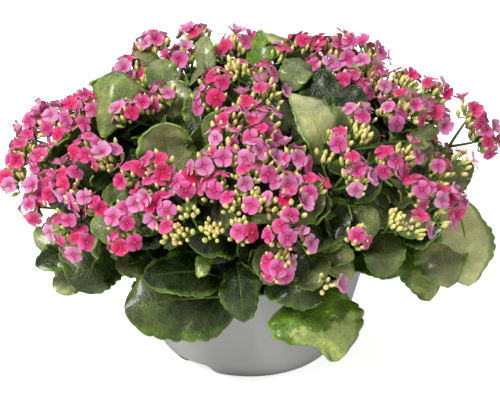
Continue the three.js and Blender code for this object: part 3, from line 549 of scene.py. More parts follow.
def attribute(tree, name):
    """The values that point_layer kept, read in a material."""
    node = tree.nodes.new("ShaderNodeAttribute")
    node.attribute_name = name
    return node.outputs["Fac"]


def map_parts(tree, name):
    """The two parts of the places that map_layer kept, read in a material."""
    layer = tree.nodes.new("ShaderNodeUVMap")
    layer.uv_map = name
    parts = tree.nodes.new("ShaderNodeSeparateXYZ")
    tree.links.new(layer.outputs["UV"], parts.inputs[0])
    return parts.outputs[0], parts.outputs[1]


class Bundle:
    """Points, faces and one value a point, gathered for a fused piece."""

    def __init__(self):
        self.points, self.faces, self.values, self.count = [], [], [], 0

    def add(self, points, faces, values):
        self.points.append(points)
        self.faces.extend(tuple(v + self.count for v in face) for face in faces)
        self.values.append(np.broadcast_to(values, len(points)))
        self.count += len(points)

    def rod(self, line, radii, sides, values):
        """A round rod along a line of points, with a radius and a value at each."""
        line = np.asarray(line, float)
        radii = np.broadcast_to(radii, len(line))
        tangents = np.gradient(line, axis=0)
        tangents /= np.linalg.norm(tangents, axis=1)[:, None]
        helper = UP if abs(tangents[0][2]) < 0.9 else np.array([1.0, 0, 0])
        side = unit(np.cross(helper, tangents[0]))
        angles = np.arange(sides) * 2 * math.pi / sides
        rings = []
        for centre, tangent, radius in zip(line, tangents, radii):
            side = unit(side - side.dot(tangent) * tangent)
            other = np.cross(tangent, side)
            spokes = np.outer(np.cos(angles), side) + np.outer(np.sin(angles), other)
            rings.append(centre + radius * spokes)
        faces = []
        for i in range(len(line) - 1):
            for k in range(sides):
                n = (k + 1) % sides
                low, high = i * sides, (i + 1) * sides
                faces.append((low + k, low + n, high + n, high + k))
        faces.append(tuple(reversed(range(sides))))
        faces.append(tuple(range((len(line) - 1) * sides, len(line) * sides)))
        spread = np.repeat(np.broadcast_to(values, len(line)), sides)
        self.add(np.concatenate(rings), faces, spread)

    def piece(self, name, material, layer):
        """The fused piece, with the values kept on it under a layer's name."""
        piece = mesh_piece(name, np.concatenate(self.points), self.faces, material)
        point_layer(piece, layer, np.concatenate(self.values))
        return piece


green, tree, shader = new_material("green_growth", 0.38)
speckle = noise(tree, object_coords(tree), 260, 3)
uneven = maths(tree, "MULTIPLY", maths(tree, "SUBTRACT", speckle, 0.5), 0.16)
tone = ramp(tree, maths(tree, "ADD", attribute(tree, "ripeness"), uneven), [
    (0.0, (0.045, 0.075, 0.018)),
    (0.22, (0.09, 0.16, 0.03)),
    (0.40, (0.20, 0.30, 0.055)),
    (0.60, (0.56, 0.60, 0.15)),
    (0.80, (0.88, 0.76, 0.30)),
    (1.0, (0.90, 0.46, 0.27)),
])
tree.links.new(tone, shader.inputs["Base Color"])
socket(shader, "Subsurface Weight", 0.08)
socket(shader, "Subsurface Radius", (0.004, 0.005, 0.002))
bump(tree, shader, speckle, 0.25, 0.0006)

growths = {name: Bundle() for name in STEMS}
lines = {}
frames = {}
for name in STEMS:
    line = stem_line(name)
    radii = np.linspace(STEM_RADIUS, FORK_RADIUS, len(line))
    radii[::3] *= JOINT_SWELLING
    growths[name].rod(line, radii, 9, GREEN_WOOD)
    lines[name] = [line]
    heads = HEADS[name]
    for rank, (head, tufts) in enumerate(heads.items()):
        parts, neck, way = head_frame(tufts, STEMS[name][1])
        stalk = stalk_line(name, neck, way, rank, len(heads))
        radii = np.linspace(1.6, STALK_RADIUS, len(stalk))
        growths[name].rod(stalk, radii, 7, np.linspace(0.1, GREEN_STALK, len(stalk)))
        lines[name].append(stalk)
        frames[name, head] = (parts, neck, way)


# The leaves: thick, waxy and scalloped, dark green above with a thin yellow-green edge and
# paler below. Each is a blade that arches and cups on a short stalk from its stem.
# A leaf is its base, tip, width, the way its upper side faces, arch, cup and look, and for a few
# its notch and how far it leans to one side. A look is how olive it is (partly its own tone and
# partly painted sheen), how fresh it is, and how much painted shade darkens it.
# The last two looks put painted shade on leaves in the plant's dark gaps. The olive, pale and
# light looks carry painted sheen besides an olive tone.
DARK, MID, OLIVE = (0.0, 0.0, 0.0), (0.2, 0.15, 0.0), (0.4, 0.05, 0.0)
PALE, LIGHT, FRESH = (0.68, 0.05, 0.0), (1.0, 0.1, 0.0), (0.06, 1.0, 0.0)
AGED, DIM, DEEP_SHADE = (0.2, 0.4, 0.0), (0.0, 0.0, 0.75), (0.02, 0.1, 0.3)
LEAVES = {
    "front_left": [
        ((-42, -78, 222), (-46, -92, 271), 34, (0.1, -0.85, 0.5), 0.1, 0.1, DEEP_SHADE),
        ((-11, -116, 160), (-58, -160, 187), 36, (-0.1, -0.7, 0.65), 0.15, -0.2, DARK),
    ],
    "front_right": [
        ((72, -95, 227), (39, -72, 297), 44, (0.3, -0.68, 0.6), 0.25, -0.1, PALE, 0, 0.25),
        ((45, -128, 204), (74, -158, 216), 34, (0, -0.7, 0.7), 0.1, -0.2, DARK),
        ((53, -118, 185), (93, -150, 199), 52, (0.1, -0.85, 0.5), 0.1, -0.15, DARK),
        ((50, -128, 175), (86, -154, 180), 30, (0, -0.7, 0.7), 0.15, -0.2, MID),
    ],
    "front_low": [
        ((-12, -128, 147), (-7, -158, 101), 38, (0.1, -0.95, 0.3), 0.12, -0.2, DEEP_SHADE),
        ((60, -116, 119), (86, -163, 65), 92, (0.02, -0.85, 0.5), 0.15, -0.15, FRESH, 0.72, 0.3),
        ((13, -130, 129), (68, -170, 130), 40, (0, -0.75, 0.65), 0.15, -0.2, DEEP_SHADE),
        ((58, -125, 156), (94, -165, 149), 34, (0.1, -0.6, 0.75), 0.15, 0.1, PALE),
        ((52, -132, 166), (96, -160, 167), 28, (0, -0.7, 0.7), 0.1, -0.2, MID),
    ],
    "left_front": [
        ((-11, -114, 107), (-118, -150, 111), 80, (0.15, -0.75, 0.6), 0.12, -0.15, DEEP_SHADE),
        ((-29, -112, 126), (-98, -165, 149), 48, (0.05, -0.7, 0.7), 0.15, -0.2, DARK),
        ((-88, -90, 132), (-127, -118, 138), 28, (-0.2, -0.7, 0.6), 0.1, -0.1, MID),
        ((-39, -145, 167), (-47, -165, 150), 15, (0, -0.8, 0.5), 0.1, 0, FRESH),
        ((-75, -95, 219), (-80, -115, 282), 54, (0, -0.85, 0.5), -0.08, 0.15, PALE),
        ((-83, -94, 125), (-109, -118, 108), 30, (-0.2, -0.8, 0.5), 0.1, -0.1, DARK),
    ],
    "left_low": [
        ((-138, -65, 144), (-167, -100, 107), 64, (0.15, -0.85, 0.45), 0.12, -0.2, DEEP_SHADE),
        ((-98, -76, 160), (-128, -104, 140), 38, (-0.1, -0.8, 0.5), 0.1, -0.1, DARK),
        ((-113, -80, 190), (-138, -110, 206), 30, (0, -0.7, 0.7), 0.1, -0.1, MID),
        ((-133, -55, 201), (-179, -75, 224), 32, (0, -0.7, 0.7), 0.1, -0.2, MID),
    ],
    "left": [
        ((-160, -42, 124), (-209, -72, 120), 36, (-0.3, -0.6, 0.7), 0.15, -0.2, DARK),
        ((-162, -40, 110), (-190, -62, 87), 40, (-0.3, -0.8, 0.4), 0.1, -0.1, OLIVE),
        ((-172, -5, 134), (-214, -20, 119), 42, (-0.4, -0.7, 0.5), 0.1, -0.1, OLIVE),
    ],
    "left_back": [
        ((-121, 14, 252), (-141, -58, 247), 58, (-0.05, -0.45, 0.9), 0.74, -0.66, AGED, 0, -0.14),
        ((-72, -32, 246), (-75, -18, 292), 42, (-0.1, -0.75, 0.6), 0.1, 0.1, OLIVE),
        ((-50, -50, 255), (-52, -40, 287), 26, (0.1, -0.9, 0.4), 0.1, 0.1, MID),
        ((-43, 12, 284), (-46, 36, 320), 20, (0, -0.8, 0.6), 0.1, 0.1, OLIVE),
        ((-84, 0, 272), (-89, 30, 298), 32, (0, -0.8, 0.5), 0.1, 0.1, MID),
    ],
    "middle": [
        ((-2, 36, 288), (40, 62, 308), 34, (0, -0.6, 0.8), 0.35, -0.2, FRESH),
        ((27, 38, 290), (69, 64, 301), 31, (0.1, -0.6, 0.8), 0.2, -0.2, DARK),
        ((49, 26, 300), (39, -14, 279), 32, (0.1, -0.7, 0.7), 0.2, -0.15, MID),
    ],
    "right_back": [
        ((74, -52, 223), (87, -48, 276), 36, (0.1, -0.9, 0.4), 0.1, -0.1, OLIVE),
        ((78, -22, 261), (60, 4, 293), 40, (0, -0.9, 0.4), 0.1, 0, DIM),
        ((150, -58, 244), (182, -42, 250), 16, (0, -0.6, 0.8), 0.1, 0, MID),
        ((146, -66, 242), (168, -88, 250), 15, (0, -0.6, 0.8), 0.1, 0, MID),
        ((98, -42, 260), (93, -16, 285), 34, (0, -0.8, 0.5), 0.1, 0.1, DIM),
    ],
    "right": [
        ((155, 0, 253), (193, 30, 257), 28, (0, -0.5, 0.85), 0.15, -0.2, OLIVE),
        ((185, -30, 178), (219, 0, 202), 32, (0.1, -0.6, 0.8), 0.1, -0.2, MID),
        ((199, -50, 183), (211, -95, 109), 57, (0.15, -0.8, 0.58), 0.15, -0.2, LIGHT, 0, 0.08),
    ],
    "right_low": [
        ((178, -60, 163), (190, -105, 112), 50, (0.1, -0.8, 0.5), 0.12, -0.2, OLIVE),
        ((148, -60, 138), (176, -90, 92), 38, (0.1, -0.85, 0.5), 0.1, -0.1, FRESH),
        ((145, -88, 163), (180, -124, 181), 34, (0, -0.75, 0.6), 0.12, -0.2, DARK),
        ((168, -48, 198), (210, -46, 195), 28, (0.2, -0.6, 0.75), 0.1, -0.2, MID),
        ((157, -68, 212), (110, -118, 203), 44, (0.1, -0.6, 0.75), 0.12, -0.2, OLIVE),
    ],
    "right_front": [
        ((95, -90, 132), (142, -120, 133), 26, (0, -0.6, 0.8), 0.1, -0.1, FRESH),
        ((128, -100, 174), (125, -140, 138), 40, (0, -0.85, 0.5), 0.12, -0.2, MID),
        ((134, -106, 196), (104, -142, 191), 32, (-0.1, -0.75, 0.6), 0.1, -0.1, MID),
        ((96, -92, 229), (73, -116, 238), 17, (0, -0.8, 0.6), 0.1, -0.1, MID),
        ((132, -62, 234), (122, -96, 207), 36, (0, -0.8, 0.5), 0.12, -0.2, DARK),
    ],
    "back_left": [],
    "back_right": [],
}
# Rings of leaves on the far side: azimuths, radius and height of base and tip, width, and
# how much the upper side faces up.
BACK_LEAF_RINGS = [
    ((8, 36, 68, 98, 130, 160), (135, 128), (200, 92), 70, 1.2),
    ((34, 66, 98, 130, 162), (120, 165), (192, 152), 56, 1.4),
    ((51, 86, 121), (100, 215), (152, 215), 46, 1.6),
]
BACK_SWING, BACK_DROP = 14, 20
ARCH, CUP = 0.15, -0.2
WHORL_AZIMUTHS = (20, 92, 164, 236, 308)
INNER_LEAF_TURN = 14
CROWDED = 5
BLADE_THICKNESS = 1.7
TEETH = 8
TEETH_WIDTH = 62
TEETH_LENGTH = 220
NOTCH_PLACE = 0.85
NOTCH_WIDTH = 0.2
RUFFLE = 0.2
RUFFLE_WIDTH = 20

for azimuths, base, tip, width, up in BACK_LEAF_RINGS:
    for azimuth in azimuths:
        swing = BACK_SWING * (draw(seed) - 0.5)
        drop = BACK_DROP * (draw(seed + 3) - 0.5)
        look = MID if draw(seed + 5) > 0.55 else DARK
        LEAVES[back_stem(azimuth)].append((
            polar(azimuth, *base), polar(azimuth + swing, tip[0], tip[1] + drop), width,
            polar(azimuth, 1, up), ARCH, CUP, look))
        seed += 1
for name, (_, (x, y, z)) in STEMS.items():
    if name == "middle":
        for azimuth in WHORL_AZIMUTHS:
            LEAVES[name].append((polar(azimuth, 14, z - 22), polar(azimuth + 8, 64, z - 2), 44,
                                 polar(azimuth, 0.3, 1), 0.15, -0.15, DARK))
    elif len(LEAVES[name]) < CROWDED:
        azimuth = math.degrees(math.atan2(y, x)) + INNER_LEAF_TURN * (1 if x > 0 else -1)
        reach = math.hypot(x, y) * 0.86
        LEAVES[name].append((polar(azimuth, reach, z - 50), polar(azimuth, reach + 34, z + 4), 48,
                             polar(azimuth, 1, 0.4), 0.12, -0.1, DARK))


# Plain leaves fill the plant's dark inside: a few stand where a gap would show through, and
# pairs follow every stem and flower stalk.
HIDDEN_LEAVES = {name: [] for name in STEMS}
HIDDEN_LEAVES["right"] = [
    ((163, -25, 148), (203, -52, 172), 44, (0.1, -0.75, 0.65), 0.14, -0.15, MID),
    ((130, 25, 240), (165, 15, 270), 34, (0, -0.5, 0.85), 0.14, -0.15, OLIVE),
]
HIDDEN_LEAVES["right_low"] = [
    ((133, -20, 116), (172, -50, 136), 42, (0.1, -0.8, 0.55), 0.14, -0.15, DARK),
]
HIDDEN_LEAVES["left_back"] = [
    ((-90, 48, 270), (-116, 56, 297), 28, (-0.1, -0.6, 0.8), 0.14, -0.15, MID),
]
INNER_PAIRS = (0.40, 0.52, 0.64, 0.76, 0.88, 0.97)
STALK_PAIRS = (0.25, 0.5, 0.72, 0.9, 0.98)
INNER_LENGTH, STALK_LEAF_LENGTH = 58, 46
INNER_ARCH, INNER_CUP = 0.14, -0.15
LOWEST_TIP, LOWEST_GROWTH, LOW_GROWTH = SOIL_EDGE + 12, SOIL_EDGE + 10, SOIL_EDGE + 26
LEAST_RISE = 4
CANOPY = (236, 205, 178)
CANOPY_BASE = 130
# Depth over which painted shade on the plain inner leaves rises from none to full.
CANOPY_SHADE = 0.25


def canopy_depth(place):
    """How far out a place lies: 0 in the canopy's middle and 1 at its surface."""
    return np.linalg.norm((np.array(place, float) - (0, 0, CANOPY_BASE)) / CANOPY)


def add_pairs(name, line, shares, length, outward, inside, salt):
    """Pairs of leaves up a line, each pair square to the last, kept inside the canopy."""
    for level, share in enumerate(shares):
        base = line[round(share * (len(line) - 1))]
        for way in (-1, 1):
            salt += 1
            azimuth = outward + way * 90 + (90 if level % 2 else 0) + 40 * (draw(salt) - 0.5)
            reach = length * (0.85 + 0.3 * draw(salt + 1))
            rise = reach * (0.1 + 0.5 * draw(salt + 2))
            root = base + np.array(polar(azimuth, 0.22 * reach, 4))
            tip = root + np.array(polar(azimuth, 0.85 * reach, rise))
            if canopy_depth(tip) > inside or tip[2] < LOWEST_TIP:
                continue
            look = OLIVE if draw(salt + 5) > 0.86 else MID if draw(salt + 5) > 0.5 else DARK
            away = math.degrees(math.atan2(tip[1], tip[0])) + 50 * (draw(salt + 7) - 0.5)
            HIDDEN_LEAVES[name].append((
                tuple(root), tuple(tip), length * (0.7 + 0.2 * draw(salt + 4)),
                polar(away, 1, 0.35 + 0.6 * draw(salt + 6)), INNER_ARCH, INNER_CUP, look))


for order, (name, (_, fork)) in enumerate(STEMS.items()):
    outward = math.degrees(math.atan2(fork[1], fork[0])) if name != "middle" else 10
    line = stem_line(name, LINE_STEPS)
    add_pairs(name, line, INNER_PAIRS, INNER_LENGTH, outward, 0.74, 900 + 40 * order)
    for rank, stalk in enumerate(lines[name][1:]):
        end = stalk[-1]
        outward = math.degrees(math.atan2(end[1], end[0])) + 45
        salt = 2000 + 200 * order + 20 * rank
        add_pairs(name, stalk, STALK_PAIRS, STALK_LEAF_LENGTH, outward, 1.0, salt)


def growth_point(root, stem_lines):
    """The nearest place on the stem or a stalk that lies lower than a leaf's root."""
    best = None
    for line in stem_lines:
        for i in range(len(line) - 1):
            point = line[i]
            low_enough = point[2] < root[2] - LEAST_RISE or point[2] < LOW_GROWTH
            far = np.linalg.norm(point - root)
            if point[2] > LOWEST_GROWTH and low_enough and (best is None or far < best[0]):
                best = (far, point)
    return best[1]


def leaf_half_width(t):
    """Half the width along a leaf as a share of the greatest, round at the tip."""
    neck = (0.12 + 0.08 * t) * (1 - t ** 24)
    return neck + 0.85 * np.sin(math.pi * t ** 0.9).clip(0) ** 0.6


def blade_grid(columns, rows):
    """A flat blade's faces, how far across and along it each point lies, and its grid."""
    bpy.ops.mesh.primitive_grid_add(x_subdivisions=columns, y_subdivisions=rows, size=2 * MM)
    points, faces = pattern_of(bpy.context.object)
    return faces, points[:, 0], 1 - (1 - (points[:, 1] + 1) / 2) ** 1.5, columns, rows


FINE_BLADE = blade_grid(12, 40)
PLAIN_BLADE = blade_grid(6, 20)


def leaf_blade(leaf, number, pattern):
    """The blade's upper side, its middle line and its normals, a point each of a pattern."""
    blade_across, blade_along = pattern[1:3]
    base, tip, width, facing, arch, cup = leaf[:6]
    notch, skew = leaf[7:] if len(leaf) > 7 else (0, 0)
    start, end = np.array(base, float), np.array(tip, float)
    along = end - start
    lift = np.array(facing, float)
    lift = unit(lift - lift.dot(along) / along.dot(along) * along)
    control = (start + end) / 2 + 2 * arch * np.linalg.norm(along) * lift
    t, u = blade_along[:, None], blade_across[:, None]
    centre = (1 - t) ** 2 * start + 2 * t * (1 - t) * control + t ** 2 * end
    tangent = 2 * (1 - t) * (control - start) + 2 * t * (end - control)
    tangent /= np.linalg.norm(tangent, axis=1)[:, None]
    side = np.cross(tangent, lift)
    side /= np.linalg.norm(side, axis=1)[:, None]
    normal = np.cross(side, tangent)
    half = width / 2 * leaf_half_width(t)
    rim = np.abs(u)
    hand = np.where(u < 0, -1.0, 1.0)
    teeth = TEETH * (0.75 + np.linalg.norm(along) / TEETH_LENGTH)
    teeth *= min(1, TEETH_WIDTH / width)
    phase = teeth * t + 0.13 * hand + draw(number)
    tooth = np.abs(np.sin(math.pi * phase)) ** 0.7
    entire = 1 / (1 + np.exp(-18 * (t - 0.2)))
    lean = 0.16 * (draw(number + 11) - 0.5)
    lobe = 0.07 * np.sin(2 * math.pi * (1.3 * t + draw(number + 13)) + 1.9 * hand)
    scallop = 1 + rim * (lean * hand + lobe * entire) + entire * rim ** 3 * (0.09 * tooth - 0.055)
    bite = notch * np.exp(-((t - NOTCH_PLACE) / NOTCH_WIDTH) ** 2)
    scallop *= (1 - np.where(u > 0, bite, 0) * rim) * (1 + skew * hand)
    roll = draw(number + 3) * 2 * math.pi
    wave = np.sin(2 * math.pi * (1.4 * t + 0.31 * hand) + roll) * rim ** 1.6 * entire
    wave += 0.5 * np.sin(2 * math.pi * 3.3 * t + 2 * roll + 2 * hand) * rim ** 3 * entire
    twist = 0.5 * (draw(number + 17) - 0.5) * t
    height = cup * half * rim ** 1.4 + half * u * twist
    height += RUFFLE * np.minimum(half, RUFFLE_WIDTH) * wave
    height += entire * rim ** 4 * 0.03 * half * tooth
    height -= 0.05 * half * np.exp(-(u / 0.12) ** 2) * (1 - t)
    height += 0.03 * half * np.cos(2 * math.pi * (6 * t - 1.4 * rim)) * rim * (1 - rim)
    return centre + side * u * half * scallop + normal * height, centre, normal


def effect(name, inputs, outputs):
    """An empty node group, with the sockets that it is given and that it makes."""
    group = bpy.data.node_groups.new(name, "ShaderNodeTree")
    for way, labels in (("INPUT", inputs), ("OUTPUT", outputs)):
        for label, kind in labels:
            group.interface.new_socket(name=label, in_out=way, socket_type=f"NodeSocket{kind}")
    given = group.nodes.new("NodeGroupInput").outputs
    return group, given, group.nodes.new("NodeGroupOutput").inputs


# The waxy skin's marks: a green by the leaf's look, whose olive is partly the leaf's own tone and
# partly painted sheen, with painted highlights and painted shade in mottled patches over it, a
# fresh tip, a brighter rim, pale veins and a thin pale border. Painted shade, from the look and
# from how deep a leaf sits, turns the colour nearly black and dulls the gloss.
PAINTED_SHADE = (0.005, 0.009, 0.004)
YOUNG = (0.36, 0.42, 0.14)
WAX_RANGE = 0.24
leaf_skin, given, made = effect(
    "leaf_skin",
    [("Dark", "Color"), ("OliveAndSheen", "Color"), ("Fresh", "Color"), ("Rim", "Color"),
     ("Edge", "Color"), ("Smoothest", "Float")],
    [("Skin", "Color"), ("Roughness", "Float"), ("Relief", "Float"), ("Gloss", "Float")])
tree = leaf_skin
coords = object_coords(tree)
side_place, along = map_parts(tree, "Blade")
across = maths(tree, "MULTIPLY", maths(tree, "SUBTRACT", side_place, 0.5), 2)
across = maths(tree, "ABSOLUTE", across)
blotch = noise(tree, coords, 55, 5, 0.6)
mottle = noise(tree, coords, 420, 3, 0.6)
olive_and_sheen, fresh, painted_shade = (attribute(tree, name) for name in ("olive_and_sheen", "fresh", "painted_shade"))
# The olive blend is partly the leaf's own olive tone and partly painted sheen.
base = blend_colours(tree, olive_and_sheen, given["Dark"], given["OliveAndSheen"])
base = blend_colours(tree, fresh, base, given["Fresh"])
tip_place = maths(tree, "ADD", along, maths(tree, "MULTIPLY", blotch, 0.9))
young = maths(tree, "MULTIPLY", mask(tree, tip_place, 0.98, 1.0), fresh)
base = blend_colours(tree, maths(tree, "MULTIPLY", young, 0.75), base, YOUNG)
rim_place = maths(tree, "ADD", across, maths(tree, "MULTIPLY", blotch, 0.3))
band = mask(tree, rim_place, 0.88, 1.0)
base = blend_colours(tree, maths(tree, "MULTIPLY", band, 0.75), base, given["Rim"])
# Painted highlights and painted shade: mottled patches multiply the colour from darker to brighter
# than its own, and less on olive leaves.
painted_light_noise = maths(tree, "ADD", maths(tree, "MULTIPLY", blotch, 0.75),
                maths(tree, "MULTIPLY", mottle, 0.25))
painted_light_patches = ramp(tree, painted_light_noise, [(0.34, (0.36, 0.4, 0.36)), (0.5, (0.9, 0.9, 0.9)),
                                  (0.66, (1.9, 1.75, 1.5))])
painted_light_mix = tree.nodes.new("ShaderNodeMix")
painted_light_mix.data_type = "RGBA"
painted_light_mix.blend_type = "MULTIPLY"
painted_light_share = maths(tree, "SUBTRACT", 1.0, maths(tree, "MULTIPLY", olive_and_sheen, 0.6))
tree.links.new(painted_light_share, painted_light_mix.inputs["Factor"])
first, second = [s for s in painted_light_mix.inputs if s.type == "RGBA"]
tree.links.new(base, first)
tree.links.new(painted_light_patches, second)
base = [s for s in painted_light_mix.outputs if s.type == "RGBA"][0]
slant = maths(tree, "SUBTRACT", maths(tree, "MULTIPLY", along, 6.5),
              maths(tree, "MULTIPLY", across, 1.9))
wander = maths(tree, "ADD", slant, maths(tree, "MULTIPLY", blotch, 0.7))
ripple = maths(tree, "ABSOLUTE", maths(tree, "SUBTRACT", maths(tree, "FRACT", wander), 0.5))
side_veins = mask(tree, ripple, 0.09, 0.0)
midrib = mask(tree, across, 0.07, 0.0)
veins = maths(tree, "MAXIMUM", maths(tree, "MULTIPLY", side_veins, 0.35), midrib)
veins = maths(tree, "MULTIPLY", veins, maths(tree, "SUBTRACT", 1.05, along), clamp=True)
base = blend_colours(tree, maths(tree, "MULTIPLY", veins, 0.45), base, given["Edge"])
border_place = maths(tree, "ADD", across, maths(tree, "MULTIPLY", blotch, 0.03))
border = mask(tree, border_place, 0.97, 1.0)
base = blend_colours(tree, maths(tree, "MULTIPLY", border, 0.7), base, given["Edge"])
# Painted shade: the colour blends towards near-black as far as the leaf is shaded.
base = blend_colours(tree, maths(tree, "MULTIPLY", painted_shade, 0.86), base, PAINTED_SHADE)
tree.links.new(base, made["Skin"])
wax = maths(tree, "MULTIPLY", mask(tree, mottle, 0.38, 0.62), WAX_RANGE)
tree.links.new(maths(tree, "ADD", wax, given["Smoothest"]), made["Roughness"])
relief = maths(tree, "ADD", maths(tree, "MULTIPLY", mottle, 0.7),
               maths(tree, "ADD", maths(tree, "MULTIPLY", blotch, 1.2),
                     maths(tree, "MULTIPLY", veins, -0.5)))
tree.links.new(relief, made["Relief"])
lit = maths(tree, "SUBTRACT", 1.0, painted_shade)
tree.links.new(maths(tree, "MULTIPLY", lit, 0.4), made["Gloss"])


def leaf_material(name, colours, smoothest):
    """One side's skin, from its colours and the roughness of its smoothest wax."""
    material, tree, shader = new_material(name)
    skin = tree.nodes.new("ShaderNodeGroup")
    skin.node_tree = leaf_skin
    for label, colour in colours.items():
        socket(skin, label, (*colour, 1))
    socket(skin, "Smoothest", smoothest)
    for made_here, asked in (("Skin", "Base Color"), ("Roughness", "Roughness"),
                             ("Gloss", "Coat Weight")):
        tree.links.new(skin.outputs[made_here], shader.inputs[asked])
    bump(tree, shader, skin.outputs["Relief"], 0.6, 0.0022)
    socket(shader, "Specular IOR Level", 0.4)
    socket(shader, "Specular Tint", (1.0, 1.0, 0.8, 1))
    socket(shader, "Coat Roughness", 0.14)
    socket(shader, "Coat Tint", (1.0, 1.0, 0.85, 1))
    return material


upper_skin = leaf_material("leaf_upper", {
    "Dark": (0.013, 0.026, 0.006), "OliveAndSheen": (0.56, 0.57, 0.28), "Fresh": (0.11, 0.22, 0.015),
    "Rim": (0.09, 0.19, 0.012), "Edge": (0.28, 0.42, 0.06)}, 0.16)
under_skin = leaf_material("leaf_under", {
    "Dark": (0.055, 0.095, 0.025), "OliveAndSheen": (0.34, 0.36, 0.14), "Fresh": (0.14, 0.26, 0.03),
    "Rim": (0.12, 0.22, 0.025), "Edge": (0.26, 0.38, 0.08)}, 0.4)
LEAF_STALK_RADII = (1.9, 2.5)
LEAF_STALK_STEPS = 8
RIB_DEPTH = 1.5
RIB_SHARE = 0.62

leaf_number = 100
for name, leaves in LEAVES.items():
    foliage = Bundle()
    places, looks = [], []
    for rank, leaf in enumerate(leaves + HIDDEN_LEAVES[name]):
        leaf_number += 1
        pattern = FINE_BLADE if rank < len(leaves) else PLAIN_BLADE
        blade_faces, blade_across, blade_along, columns, rows = pattern
        points, spine, normal = leaf_blade(leaf, leaf_number, pattern)
        # Painted shade: listed leaves take it from their look, and plain leaves inside get more of
        # it the deeper they sit in the canopy.
        painted_shade = leaf[6][2]
        if rank >= len(leaves):
            painted_shade = min(1.0, max(0.0, (1.0 - canopy_depth(leaf[1])) / CANOPY_SHADE))
        foliage.add(points, blade_faces, painted_shade)
        places.append(np.stack([(blade_across + 1) / 2, blade_along], axis=1))
        looks.extend([leaf[6]] * len(points))
        root = np.array(leaf[0], float)
        start = growth_point(root, lines[name])
        bend = start + 0.6 * (root - start) + 4 * UP
        stalk = bezier([start, bend, root - 0.6 * normal[0]], LEAF_STALK_STEPS)
        size = min(1.0, 0.45 + leaf[2] / 110)
        radii = np.linspace(*LEAF_STALK_RADII, LEAF_STALK_STEPS) * size
        growths[name].rod(stalk, radii, 6, 0.24)
        if rank >= len(leaves):
            continue
        order = np.argsort(blade_along, kind="stable")[::columns + 1]
        rib = (spine - RIB_DEPTH * normal)[order][:round(rows * RIB_SHARE):3]
        growths[name].rod(rib, np.linspace(2.0 * size, 0.4, len(rib)), 5, 0.3)
    if not leaves:
        continue
    piece = foliage.piece(f"leaves_{name}", upper_skin, "painted_shade")
    piece.data.materials.append(under_skin)
    point_layer(piece, "olive_and_sheen", [look[0] for look in looks])
    point_layer(piece, "fresh", [look[1] for look in looks])
    map_layer(piece, "Blade", places)
    select_only(piece)
    bpy.ops.object.mode_set(mode="EDIT")
    bpy.ops.mesh.select_all(action="SELECT")
    bpy.ops.mesh.remove_doubles(threshold=0.02 * MM)
    bpy.ops.object.mode_set(mode="OBJECT")
    wall = piece.modifiers.new("thickness", "SOLIDIFY")
    wall.thickness = BLADE_THICKNESS * MM
    wall.offset = -1
    wall.material_offset = 1
    wall.material_offset_rim = 0
    bpy.ops.object.modifier_apply(modifier=wall.name)
    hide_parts(f"stem_{name}")
    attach(piece, "root")


# The flowers: four broad thin petals round a small yellow throat, hot pink with paler edges.
# Each head's flowers stand in low domes, and slim pointed buds wait among them.
FLORET_RADIUS = 8.3
FLORET_TUBE = 9
HUB_LIFT = 7
BUD_PLENTY = 2.0
GOLDEN_TURN = math.radians(137.508)
CROWDING = 0.062
PETAL_ROWS = ((0.07, 0.08), (0.36, 0.40), (0.68, 0.62), (0.93, 0.43))
PETAL_TIP = 1.05
PETAL_DEPTH = 0.06
UNDERSIDE = 3.0
BUD_LENGTH = 8.2
BUD_RADIUS = 2.6
BUD_SLIMMING = 0.45
BUDS_ALONE_SPREAD = 27
BRANCH_RADII = (1.6, 1.1)
# A flower's green tube and a bud's thin stalk: radii and ripeness from hub to end.
TUBE_RADII = (0.7, 0.65, 1.0, 2.1, 1.6, 1.0)
TUBE_RIPENESS = (0.28, 0.36, 0.44, GREEN_NECK, 0.7, 0.82)
PEDICEL_RADII = (0.6, 0.6, 0.8, 1.5)
PEDICEL_RIPENESS = (0.28, 0.34, 0.4, 0.44)


def petal_pattern(rise, droop, cup, tilt):
    """Points, faces and map of one closed petal in units of the flower's radius."""
    bpy.ops.mesh.primitive_grid_add(x_subdivisions=2, y_subdivisions=3, size=2 * MM)
    grid, faces = pattern_of(bpy.context.object)
    points, spots = [], []
    for x, y, _ in grid:
        row = round((y + 1) / 2 * 3)
        distance, half = PETAL_ROWS[row]
        if row == 3 and abs(x) < 0.5:
            distance = PETAL_TIP
        height = rise * distance - droop * distance ** 2 + cup * abs(x) * distance
        height += tilt * x * half
        points.append((distance, x * half, height))
        spots.append((distance, (x + 1) / 2))
    count = len(points)
    back = {}
    for index, (x, y, _) in enumerate(grid):
        row = round((y + 1) / 2 * 3)
        if abs(x) < 0.5 and row in (1, 2):
            back[index] = count + len(back)
            distance, across, height = points[index]
            points.append((distance, across, height - PETAL_DEPTH))
            spots.append((spots[index][0], UNDERSIDE))
    faces = [tuple(face) for face in faces]
    faces += [tuple(back.get(v, v) for v in reversed(face)) for face in faces]
    return np.array(points), faces, np.array(spots)


